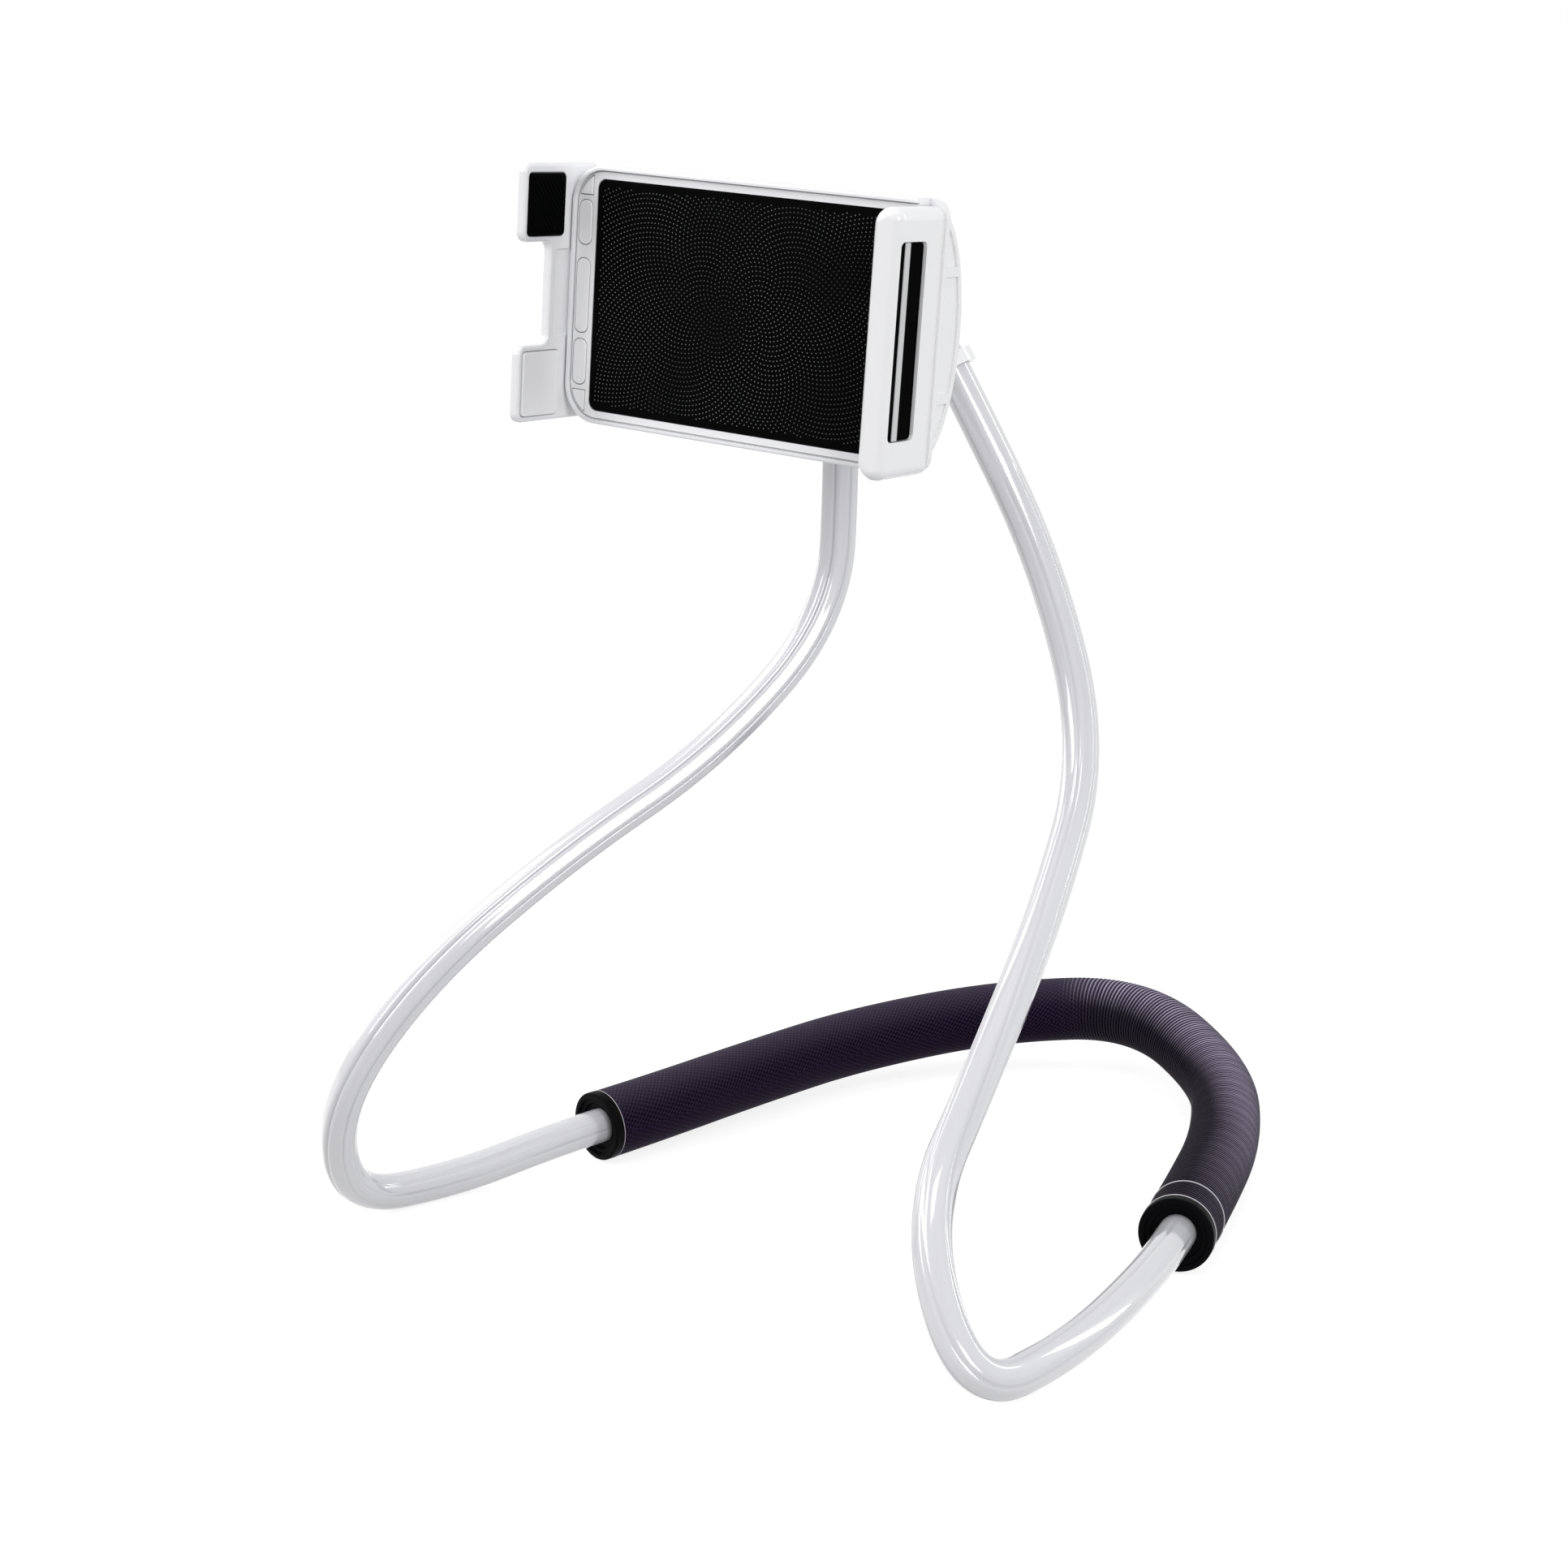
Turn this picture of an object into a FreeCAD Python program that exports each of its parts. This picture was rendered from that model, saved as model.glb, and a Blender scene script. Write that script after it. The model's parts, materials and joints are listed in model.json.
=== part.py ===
import FreeCAD, Part
import math
import os

from FreeCAD import Placement, Rotation, Vector

# Neck phone holder: a bendable loop with a padded neck sleeve carries a clamp head on a swivel hub.
# Sizes are in millimetres. The loop stands on the ground as a table stand, with its front at -Y.
# The head is drawn in its own frame first: X to its right, Y to its back, Z up, the grip pad's front
# at Y = 0 and the swivel axis along Y through the middle of its face.

# Bendable tube, a wire sealed in plastic
TUBE_D = 8.0
ARC_SHARE = 0.48
ROUTE = [
    (-17, 45, 194.6), (-17, 45, 161), (-17.5, 43, 128.5), (-31, 17.5, 101), (-48, -14, 82), (-64, -42, 59),
    (-79, -54, 31), (-87.5, -41, 4.5), (-79, -15, 3.5), (-70, 7, 7.5), (-63, 36, 8.5), (-58, 68, 9),
    (-50, 103, 10), (-28, 135, 13), (6, 148, 17), (38, 130, 9), (56, 95, 8), (67.5, 57, 8),
    (78, 18, 8.5), (79.6, -19, 5), (73.4, -47.5, 3.5), (55, -36, 31), (50.5, -5, 51), (46, 27, 75),
    (39.5, 56.5, 103), (23, 65, 140), (5, 61, 175), (-5, 58.5, 193),
]
TIP_CAP_LENGTH = 7.0
TIP_CAP_WALL = 0.7
TIP_CAP_END = 1.6
TIP_CAP_ROUND = 1.4

# Neck sleeve of covered foam, from the middle of one run of the route to the middle of another
SLEEVE_D = 16.0
SLEEVE_FIRST_RUN = 9
SLEEVE_LAST_RUN = 17
SLEEVE_ROOM = 0.15
END_RING_LENGTH = 2.4
END_RING_ROUND = 0.5
END_STEP_D = 13.4
END_STEP_DEPTH = 0.7
END_RECESS_D = 11.0
END_RECESS_DEPTH = 1.5

# Head
HEAD_ROLL = 4.5
PAD_FRONT_Y = 8.0
FRAME_WIDTH = 88.8
FRAME_HEIGHT = 53.4
FRAME_LEFT_CORNER = 8.0
FRAME_RIGHT_CORNER = 3.6
FRAME_DEPTH = 4.2
RIM_HEIGHT = 0.8
RIM_WIDTH = 0.9
RIM_ROUND = 0.5
GROOVE_WIDTH = 0.3
GROOVE_DEPTH = 0.4
PART_ROOM = 0.15

# Grip pad in its recess
PAD_TOP_MARGIN = 2.8
PAD_LEFT_MARGIN = 6.3
PAD_RIGHT_MARGIN = 8.3
PAD_THICKNESS = 1.5
PAD_CORNER = 2.0

# Soft studs let into the left margin of the frame
STUD_WIDTH = 3.4
STUD_DEPTH = 0.8
STUD_STAND = 0.15
STUD_ROUND_SHARE = 0.46
STUD_MARGIN = 1.6
STUD_GAP = 1.2
STUD_SPANS = [(10.3, 19.4), (-8.0, 7.4), (-18.9, -9.4)]

# Fixed jaw at the right end
JAW_INSET = 0.5
JAW_DROP = 0.8
JAW_SHORT = 1.2
JAW_WALL = 3.5
JAW_REACH = 12.0
LIP_THICKNESS = 2.9
LIP_WIDTH = 6.4
LIP_CORNER = 3.6
JAW_CORNER = 2.4
JAW_EDGE_ROUND = 2.2
WINDOW_MARGIN = 7.0
WINDOW_DROP = 0.2
WINDOW_WIDTH = 9.0
WINDOW_BACK_Y = -1.5
WINDOW_CORNER = 1.0
WINDOW_SINK = 0.6
JAW_PAD_STAND = 1.2
STRIP_WIDTH = 1.8
STRIP_OFFSET = 1.9
STRIP_THICKNESS = 0.3

# Sliding jaw at the left end
SLIDE_TRAVEL = 28.0
SPINE_THICKNESS = 2.3
SPINE_GAP = 0.3
SPINE_REACH = 6.5
SPINE_BACK_Y = 8.5
CLAW_REACH = 15.6
UPPER_CLAW_HEIGHT = 16.1
LOWER_CLAW_HEIGHT = 16.0
CLAW_CORNER = 2.0
CLAW_ROUND = 0.7
CLAW_PAD_BORDER = 1.3
UPPER_PAD_BORDER = 2.1
CLAW_PAD_FRONT = 1.3
CLAW_PAD_BACK = 2.8
CLAW_PAD_SINK = 0.6
CLAW_PAD_STAND = 0.3
SPINE_PANEL_BORDER = 1.6
SPINE_PANEL_DEPTH = 0.5
TONGUE_MARGIN = 15.5
TONGUE_THICKNESS = 2.2
TONGUE_GAP = 0.3
TONGUE_END_X = 18.0
EAR_STOP_ROOM = 1.0
EAR_LENGTH = 4.0
EAR_HEIGHT = 7.0
SLIDE_ROOM = 0.3

# Back shell
SHELL_LIP = 1.6
SHELL_LIP_ROUND = 0.5
SHELL_INSET = 2.4
SHELL_TOP_INSET = 1.0
SHELL_BACK_Y = 18.3
SHELL_WALL = 2.0
SHELL_END_ROUND = 2.5
SIDE_PANEL_BORDER = 3.0
SIDE_PANEL_GAP = 0.8
SIDE_PANEL_DEPTH = 0.4
RIB_WIDTH = 2.0
SCREW_EDGE = 4.0
SCREW_SIDE = 3.9
SCREW_D = 2.0
SCREW_HEAD_D = 4.0
SCREW_HEAD_HEIGHT = 1.8
SCREW_SEAT_Y = 8.0
SCREW_TIP_Y = 2.0
SCREW_BOSS_D = 6.0
SCREW_ROOM = 0.1

# Return springs beside the tongue
SPRING_D = 4.2
SPRING_WIRE = 0.7
SPRING_ANCHOR_EDGE = 7.0
ANCHOR_WIDTH = 3.0

# Swivel hub
POST_D = 9.0
POST_ROOM = 0.05
BUSH_WALL = 1.5
BUSH_FLANGE_D = 15.0
BUSH_FLANGE = 1.2
BOSS_D = 18.0
BOSS_BACK_Y = 22.5
BOSS_FRONT_Y = 13.0
RING_NUT_WALL = 2.9
RING_NUT_LENGTH = 3.2
RING_NUT_NOTCHES = 18
RING_NUT_NOTCH_D = 1.8
FACE_ROOM = 0.1
WASHER_D = 14.0
WASHER_THICKNESS = 1.0
HUB_SCREW_D = 3.0
HUB_SCREW_HEAD_D = 6.5
HUB_SCREW_HEAD = 1.9
HUB_SCREW_LENGTH = 12.0
SOCKET_WALL = 2.6
SOCKET_LENGTH = 27.6
SOCKET_TOP = 5.0
SOCKET_ROUND = 1.5
TUBE_ROOM = 0.1
NECK_D = 15.0
ARM_HEIGHT = 5.0
ARM_WIDTH = 4.0
ARM_ROUND = 1.0
RING_WALL = 1.5
RING_LENGTH = 3.0
RING_PLACE = 0.42
SET_SCREW_D = 3.0
SET_SCREW_RISE = 4.5

CORNERS = [Vector(*point) for point in ROUTE]
HUB = Vector(CORNERS[0].x, PAD_FRONT_Y, CORNERS[0].z)
HEAD_PLACE = Placement(HUB, Rotation(Vector(0, 1, 0), HEAD_ROLL))
LEFT_X = -FRAME_WIDTH / 2
RIGHT_X = FRAME_WIDTH / 2
TOP_Z = FRAME_HEIGHT / 2
PAD_HEIGHT = FRAME_HEIGHT - 2 * PAD_TOP_MARGIN
JAW_HEIGHT = FRAME_HEIGHT - JAW_SHORT
WINDOW_HEIGHT = JAW_HEIGHT - 2 * WINDOW_MARGIN
JAW_OUTER_X = RIGHT_X - JAW_INSET
JAW_INNER_X = JAW_OUTER_X - JAW_WALL
SHELL_END_X = RIGHT_X - SHELL_INSET
LIP_Y = FRAME_DEPTH + SHELL_LIP
EAR_X = -SHELL_END_X + SHELL_WALL + SLIDE_TRAVEL + EAR_STOP_ROOM
SCREW_X = SHELL_END_X - SCREW_EDGE
SCREW_Z = TOP_Z - SHELL_TOP_INSET - SCREW_SIDE
SPRING_ANCHOR_X = SHELL_END_X - SHELL_WALL - SPRING_ANCHOR_EDGE
TONGUE_HEIGHT = FRAME_HEIGHT - 2 * TONGUE_MARGIN
RING_NUT_D = BOSS_D + 2 * FACE_ROOM + 2 * RING_NUT_WALL
SAME = 1e-6
X_AXIS = Vector(1, 0, 0)
Y_AXIS = Vector(0, 1, 0)
Z_AXIS = Vector(0, 0, 1)


def unit(vector):
    """The vector at length one."""
    return vector * (1.0 / vector.Length)


def edges_along(shape, axis):
    """The straight edges of a shape that run along an axis."""
    return [edge for edge in shape.Edges if 1.0 - abs(edge.tangentAt(edge.FirstParameter).dot(axis)) < SAME]


def box(x_range, y_range, z_range):
    """A plain block between limits along each axis."""
    low = Vector(x_range[0], y_range[0], z_range[0])
    high = Vector(x_range[1], y_range[1], z_range[1])
    size = high - low
    return Part.makeBox(size.x, size.y, size.z, low)


def plate(x_range, z_range, y_range, left_corner, right_corner):
    """A plate facing along Y, with its own rounding on the left and the right corners."""
    middle = (x_range[0] + x_range[1]) / 2
    block = box(x_range, y_range, z_range)
    left = [edge for edge in edges_along(block, Y_AXIS) if edge.CenterOfMass.x < middle]
    block = block.makeFillet(left_corner, left)
    right = [edge for edge in edges_along(block, Y_AXIS) if abs(edge.CenterOfMass.x - x_range[1]) < SAME]
    return block.makeFillet(right_corner, right)


def side_plate(y_range, z_range, x_range, corner):
    """A plate facing along X with one rounding on its four corners."""
    block = box(x_range, y_range, z_range)
    return block.makeFillet(corner, edges_along(block, X_AXIS))


def rod(diameter, y_range, x=0.0, z=0.0):
    """A round bar along Y."""
    y0, y1 = y_range
    return Part.makeCylinder(diameter / 2, y1 - y0, Vector(x, y0, z), Y_AXIS)


def join(first, *others):
    """One solid from pieces that meet, without the seams between them."""
    return first.fuse(list(others)).removeSplitter()


def bend(before, corner, after):
    """Start, middle and end of the arc that rounds one corner of the route."""
    back = unit(before - corner)
    ahead = unit(after - corner)
    cut = ARC_SHARE * min((before - corner).Length, (after - corner).Length)
    radius = cut / math.tan((math.pi - back.getAngle(ahead)) / 2)
    inward = unit(back + ahead)
    centre = corner + inward * math.hypot(radius, cut)
    return corner + back * cut, centre - inward * radius, corner + ahead * cut


BENDS = [bend(*three) for three in zip(CORNERS, CORNERS[1:], CORNERS[2:])]


def path(start, bends, end):
    """Straight runs and tangent arcs from start to end, as one wire."""
    edges = []
    here = start
    for arc_start, arc_middle, arc_end in bends:
        edges.append(Part.LineSegment(here, arc_start).toShape())
        edges.append(Part.Arc(arc_start, arc_middle, arc_end).toShape())
        here = arc_end
    edges.append(Part.LineSegment(here, end).toShape())
    return Part.Wire(edges)


def pipe(wire, outer_d, bore_d=0.0):
    """A round bar or pipe along a wire."""
    first = wire.OrderedEdges[0]
    start = first.valueAt(first.FirstParameter)
    along = first.tangentAt(first.FirstParameter)
    rings = [Part.Wire([Part.makeCircle(outer_d / 2, start, along)])]
    if bore_d > 0:
        rings.append(Part.Wire([Part.makeCircle(bore_d / 2, start, along)]))
    return wire.makePipe(Part.makeFace(rings, "Part::FaceMakerBullseye"))


def run_middle(run):
    """Middle of one run of the route and the way it points."""
    start, end = CORNERS[run], CORNERS[run + 1]
    return (start + end) * 0.5, unit(end - start)


def build_tube():
    """The bendable tube from its socket to its free end, and the cap on that end."""
    tube = pipe(path(CORNERS[0], BENDS, CORNERS[-1]), TUBE_D)
    tip = CORNERS[-1]
    along = unit(tip - CORNERS[-2])
    cap_start = tip - along * (TIP_CAP_LENGTH - TIP_CAP_END)
    inner_d = TUBE_D + 2 * TUBE_ROOM
    outer_d = inner_d + 2 * TIP_CAP_WALL
    cap = Part.makeCylinder(outer_d / 2, TIP_CAP_LENGTH + TUBE_ROOM, cap_start, along)
    end_edges = [edge for edge in cap.Edges if (edge.CenterOfMass - tip).dot(along) > TIP_CAP_END / 2]
    cap = cap.makeFillet(TIP_CAP_ROUND, [edge for edge in end_edges if edge.Closed])
    cap = cap.cut(Part.makeCylinder(inner_d / 2, (tip - cap_start).Length + TUBE_ROOM, cap_start, along))
    return {"bend_tube": tube, "tube_tip_cap": cap}


def end_ring(place, outward):
    """Rubber ring that closes one end of the sleeve, stepped round the tube."""
    ring = Part.makeCylinder(SLEEVE_D / 2, END_RING_LENGTH, place, outward)
    round_edges = [edge for edge in ring.Edges if edge.Closed]
    outer_edges = [edge for edge in round_edges if (edge.CenterOfMass - place).Length > END_RING_LENGTH / 2]
    ring = ring.makeFillet(END_RING_ROUND, outer_edges)
    end = place + outward * END_RING_LENGTH
    step = Part.makeCylinder(END_STEP_D / 2, END_STEP_DEPTH, end, outward * -1)
    recess = Part.makeCylinder(END_RECESS_D / 2, END_RECESS_DEPTH, end, outward * -1)
    bore = Part.makeCylinder(TUBE_D / 2 + SLEEVE_ROOM, END_RING_LENGTH, place, outward)
    return ring.cut([step, recess, bore])


def build_sleeve():
    """Covered foam round the part of the tube that lies on the neck, and its end rings."""
    start, start_way = run_middle(SLEEVE_FIRST_RUN)
    end, end_way = run_middle(SLEEVE_LAST_RUN)
    wire = path(start, BENDS[SLEEVE_FIRST_RUN:SLEEVE_LAST_RUN], end)
    return {
        "neck_pad": pipe(wire, SLEEVE_D, TUBE_D + 2 * SLEEVE_ROOM),
        "pad_end_ring_left": end_ring(start, start_way * -1),
        "pad_end_ring_right": end_ring(end, end_way),
    }


def face_outline(inset, y_range):
    """The frame's outline as a plate, drawn in by an inset."""
    x_range = (LEFT_X + inset, RIGHT_X - inset)
    z_range = (-TOP_Z + inset, TOP_Z - inset)
    return plate(x_range, z_range, y_range, FRAME_LEFT_CORNER - inset, FRAME_RIGHT_CORNER - inset)


def pad_block(y_range, room):
    """The grip pad's place between the left margin and the hook of the fixed jaw."""
    x_range = (LEFT_X + PAD_LEFT_MARGIN - room, RIGHT_X - PAD_RIGHT_MARGIN + room)
    z_range = (-PAD_HEIGHT / 2 - room, PAD_HEIGHT / 2 + room)
    return plate(x_range, z_range, y_range, PAD_CORNER, PAD_CORNER)


def stud_blocks(y_range, room):
    """Oblong studs down the left margin, with a slanted one at each corner of the frame."""
    x0 = LEFT_X + STUD_MARGIN
    x_range = (x0 - room, x0 + STUD_WIDTH + room)
    rounding = STUD_WIDTH * STUD_ROUND_SHARE
    blocks = []
    for low, high in STUD_SPANS:
        blocks.append(plate(x_range, (low - room, high + room), y_range, rounding, rounding))
    corner_inset = RIM_WIDTH + GROOVE_WIDTH + 2 * PART_ROOM
    clear_top = TOP_Z - corner_inset
    corner_space = face_outline(corner_inset - room, y_range)
    corner_spans = [(STUD_SPANS[0][1] + STUD_GAP, clear_top), (-clear_top, STUD_SPANS[-1][0] - STUD_GAP)]
    for low, high in corner_spans:
        block = box(x_range, y_range, (low - room, high + room))
        blocks.append(block.common(corner_space))
    return blocks


def jaw_span():
    """Lower and upper limit of the fixed jaw."""
    return (-JAW_DROP - JAW_HEIGHT / 2, -JAW_DROP + JAW_HEIGHT / 2)


def jaw_form():
    """The hooked end wall of the fixed jaw."""
    lip_x = JAW_OUTER_X - LIP_WIDTH
    block = plate((lip_x, JAW_OUTER_X), jaw_span(), (-JAW_REACH, FRAME_DEPTH), LIP_CORNER, JAW_CORNER)
    pocket_y = (-JAW_REACH + LIP_THICKNESS, FRAME_DEPTH)
    return block.cut(box((lip_x, JAW_INNER_X), pocket_y, jaw_span()))


def build_face():
    """Front frame with its raised rim, the grip pad and the soft studs."""
    frame = face_outline(0.0, (-RIM_HEIGHT, FRAME_DEPTH))
    front = [edge for edge in frame.Edges if edge.BoundBox.YMax < SAME - RIM_HEIGHT]
    frame = frame.makeFillet(RIM_ROUND, front)
    frame = frame.cut(face_outline(RIM_WIDTH, (-RIM_HEIGHT, 0.0)))
    groove = face_outline(RIM_WIDTH, (0.0, GROOVE_DEPTH))
    groove = groove.cut(face_outline(RIM_WIDTH + GROOVE_WIDTH, (0.0, GROOVE_DEPTH)))
    frame = frame.cut(groove)
    frame = frame.cut(pad_block((0.0, PAD_THICKNESS), PART_ROOM))
    frame = frame.cut(stud_blocks((0.0, STUD_DEPTH), PART_ROOM))
    frame = frame.cut(box((JAW_INNER_X - PART_ROOM, RIGHT_X), (-RIM_HEIGHT, FRAME_DEPTH), (-TOP_Z, TOP_Z)))
    for x, z in screw_places():
        frame = frame.cut(rod(SCREW_D + 2 * SCREW_ROOM, (SCREW_TIP_Y - SCREW_ROOM, FRAME_DEPTH), x, z))
    studs = stud_blocks((-STUD_STAND, STUD_DEPTH), 0.0)
    return {
        "face_frame": frame,
        "grip_pad": pad_block((0.0, PAD_THICKNESS), 0.0),
        "edge_studs": Part.makeCompound(studs),
    }


def window_block(x_range, room):
    """The tall window through the fixed jaw's wall."""
    y_range = (WINDOW_BACK_Y - WINDOW_WIDTH - room, WINDOW_BACK_Y + room)
    half = WINDOW_HEIGHT / 2 + room
    z_range = (-WINDOW_DROP - half, -WINDOW_DROP + half)
    return side_plate(y_range, z_range, x_range, WINDOW_CORNER)


def build_fixed_jaw():
    """Hooked wall at the right end with its rubber lining, which shows through a window."""
    jaw = jaw_form()
    front = [
        edge for edge in jaw.Edges
        if abs(edge.CenterOfMass.y + JAW_REACH) < SAME and edge.BoundBox.YLength < SAME
    ]
    jaw = jaw.makeFillet(JAW_EDGE_ROUND, front)
    jaw = jaw.cut(window_block((JAW_INNER_X, JAW_OUTER_X), 0.0))
    sink_x = JAW_OUTER_X - WINDOW_SINK
    plug = window_block((JAW_INNER_X, sink_x), -PART_ROOM)
    bottom, top = jaw_span()
    lining_y = (-JAW_REACH + LIP_THICKNESS + JAW_PAD_STAND, -JAW_PAD_STAND)
    lining_x = (JAW_INNER_X - JAW_PAD_STAND, JAW_INNER_X)
    lining = side_plate(lining_y, (bottom + LIP_CORNER, top - LIP_CORNER), lining_x, WINDOW_CORNER)
    strip_y = WINDOW_BACK_Y - WINDOW_WIDTH + STRIP_OFFSET
    half = WINDOW_HEIGHT / 2 - PART_ROOM
    strip_z = (-WINDOW_DROP - half, -WINDOW_DROP + half)
    strip = box((sink_x, sink_x + STRIP_THICKNESS), (strip_y, strip_y + STRIP_WIDTH), strip_z)
    return {"fixed_jaw": jaw, "fixed_jaw_pad": join(plug, lining), "window_strip": strip}


def claw_spans():
    """Lower and upper limit of the two claws of the sliding jaw."""
    return ((TOP_Z - UPPER_CLAW_HEIGHT, TOP_Z), (-TOP_Z, -TOP_Z + LOWER_CLAW_HEIGHT))


def claw_pad_spans():
    """Lower and upper limit of the linings of the two claws."""
    upper, lower = claw_spans()
    upper_lining = (upper[0] + CLAW_PAD_BORDER, upper[1] - UPPER_PAD_BORDER)
    lower_lining = (lower[0] + CLAW_PAD_BORDER, lower[1] - CLAW_PAD_BORDER)
    return (upper_lining, lower_lining)


def claw_pad(z_span, x_range, room):
    """The lining of one claw, or with some room the recess that it lies in."""
    y_range = (-CLAW_REACH + CLAW_PAD_FRONT - room, -CLAW_PAD_BACK + room)
    z_range = (z_span[0] - room, z_span[1] + room)
    return side_plate(y_range, z_range, x_range, WINDOW_CORNER)


def build_sliding_jaw():
    """Spine with two claws, and the tongue that runs into the shell against two springs."""
    inner_x = LEFT_X - SPINE_GAP
    outer_x = inner_x - SPINE_THICKNESS
    spine = side_plate((-SPINE_REACH, SPINE_BACK_Y), (-TOP_Z, TOP_Z), (outer_x, inner_x), CLAW_CORNER)
    claws = []
    for span in claw_spans():
        claws.append(side_plate((-CLAW_REACH, 0.0), span, (outer_x, inner_x), CLAW_CORNER))
    jaw = join(spine, *claws)
    roots = []
    for edge in edges_along(jaw, X_AXIS):
        middle = edge.CenterOfMass
        if abs(middle.y + SPINE_REACH) < SAME and abs(middle.z) < TOP_Z - CLAW_CORNER:
            roots.append(edge)
    jaw = jaw.makeFillet(CLAW_CORNER, roots)
    jaw = jaw.makeFillet(CLAW_ROUND, [edge for edge in jaw.Edges if edge.BoundBox.XLength < SAME])
    panel_top = claw_spans()[0][0] - SPINE_PANEL_BORDER
    panel_bottom = claw_spans()[1][1] + SPINE_PANEL_BORDER
    panel = side_plate((-SPINE_REACH + SPINE_PANEL_BORDER, 0.0), (panel_bottom, panel_top),
                       (inner_x - SPINE_PANEL_DEPTH, inner_x), WINDOW_CORNER)
    jaw = jaw.cut(panel)
    linings = []
    for span in claw_pad_spans():
        jaw = jaw.cut(claw_pad(span, (inner_x - CLAW_PAD_SINK, inner_x), PART_ROOM))
        linings.append(claw_pad(span, (inner_x - CLAW_PAD_SINK, inner_x + CLAW_PAD_STAND), 0.0))
    tongue_y = (FRAME_DEPTH + TONGUE_GAP, FRAME_DEPTH + TONGUE_GAP + TONGUE_THICKNESS)
    half = TONGUE_HEIGHT / 2
    tongue = box((inner_x - SPINE_THICKNESS / 2, TONGUE_END_X), tongue_y, (-half, half))
    ear_z = half + EAR_HEIGHT
    ears = box((EAR_X, EAR_X + EAR_LENGTH), tongue_y, (-ear_z, ear_z))
    return {
        "sliding_jaw": join(jaw, tongue, ears),
        "upper_claw_pad": linings[0],
        "lower_claw_pad": linings[1],
    }


def bowed_block(x_range, inset, front_y):
    """A block with flat sides and the shell's bowed back, drawn in by an inset."""
    x0, x1 = x_range
    half = TOP_Z - SHELL_TOP_INSET - inset
    centre = Vector(x0, LIP_Y, 0)
    ellipse = Part.Ellipse(centre + Z_AXIS * half, centre + Y_AXIS * (SHELL_BACK_Y - LIP_Y - inset), centre)
    drum = Part.Face(Part.Wire([ellipse.toShape()])).extrude(X_AXIS * (x1 - x0))
    return drum.common(box(x_range, (front_y, SHELL_BACK_Y), (-half, half)))


def screw_places():
    """Places of the screws that hold shell and frame together."""
    return [(x, z) for x in (-SCREW_X, SCREW_X) for z in (-SCREW_Z, SCREW_Z)]


def build_shell():
    """Bowed back shell with screw bosses, tongue guides, spring anchors and the swivel boss."""
    end_x = SHELL_END_X
    body = bowed_block((-end_x, end_x), 0.0, FRAME_DEPTH)
    end_edges = [edge for edge in body.Edges if edge.BoundBox.XLength < SAME and edge.CenterOfMass.y > LIP_Y]
    body = body.makeFillet(SHELL_END_ROUND, end_edges)
    flange = face_outline(0.0, (FRAME_DEPTH, LIP_Y))
    back_edges = [edge for edge in flange.Edges if edge.BoundBox.YMin > LIP_Y - SAME]
    flange = flange.makeFillet(SHELL_LIP_ROUND, back_edges)
    shell = join(body, flange, rod(BOSS_D, (LIP_Y, BOSS_BACK_Y)))
    shell = shell.cut(bowed_block((-end_x + SHELL_WALL, end_x - SHELL_WALL), SHELL_WALL, FRAME_DEPTH))
    for panel_x in ((-end_x, -end_x + SIDE_PANEL_DEPTH), (end_x - SIDE_PANEL_DEPTH, end_x)):
        shell = shell.cut(bowed_block(panel_x, SIDE_PANEL_BORDER, LIP_Y + SIDE_PANEL_GAP))

    # Inner forms, kept within the shell's own outline
    inside = [rod(BOSS_D, (BOSS_FRONT_Y, SHELL_BACK_Y))]
    for x, z in screw_places():
        inside.append(rod(SCREW_BOSS_D, (FRAME_DEPTH, SHELL_BACK_Y), x, z))
    rib_z = TONGUE_HEIGHT / 2 + SLIDE_ROOM
    tongue_back = FRAME_DEPTH + 2 * TONGUE_GAP + TONGUE_THICKNESS
    rib_x = (EAR_X + EAR_LENGTH + SLIDE_ROOM, end_x)
    for side in (-1, 1):
        z_range = sorted((side * rib_z, side * (rib_z + RIB_WIDTH)))
        inside.append(box(rib_x, (FRAME_DEPTH, SHELL_BACK_Y), z_range))
        spring_z = side * (rib_z + RIB_WIDTH + SLIDE_ROOM + SPRING_D / 2)
        z_range = (spring_z - SPRING_D / 2, spring_z + SPRING_D / 2)
        anchor_x = (SPRING_ANCHOR_X, SPRING_ANCHOR_X + ANCHOR_WIDTH)
        inside.append(box(anchor_x, (FRAME_DEPTH, SHELL_BACK_Y), z_range))
    shell = join(shell, *[form.common(body) for form in inside])

    # Ways through: tongue, screws and swivel bush
    slot = box((LEFT_X, -end_x + SHELL_WALL), (FRAME_DEPTH, tongue_back), (-rib_z, rib_z))
    shell = shell.cut(slot)
    for x, z in screw_places():
        shank = rod(SCREW_D + 2 * SCREW_ROOM, (FRAME_DEPTH, SCREW_SEAT_Y), x, z)
        head = rod(SCREW_HEAD_D + 2 * SCREW_ROOM, (SCREW_SEAT_Y, SHELL_BACK_Y), x, z)
        shell = shell.cut([shank, head])
    bush_d = POST_D + 2 * (POST_ROOM + BUSH_WALL)
    shell = shell.cut(rod(bush_d, (FRAME_DEPTH, BOSS_BACK_Y)))
    screws = []
    for x, z in screw_places():
        shank = rod(SCREW_D, (SCREW_TIP_Y, SCREW_SEAT_Y), x, z)
        head = rod(SCREW_HEAD_D, (SCREW_SEAT_Y, SCREW_SEAT_Y + SCREW_HEAD_HEIGHT), x, z)
        screws.append(join(shank, head))
    return {"back_shell": shell, "shell_screws": Part.makeCompound(screws)}


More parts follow.
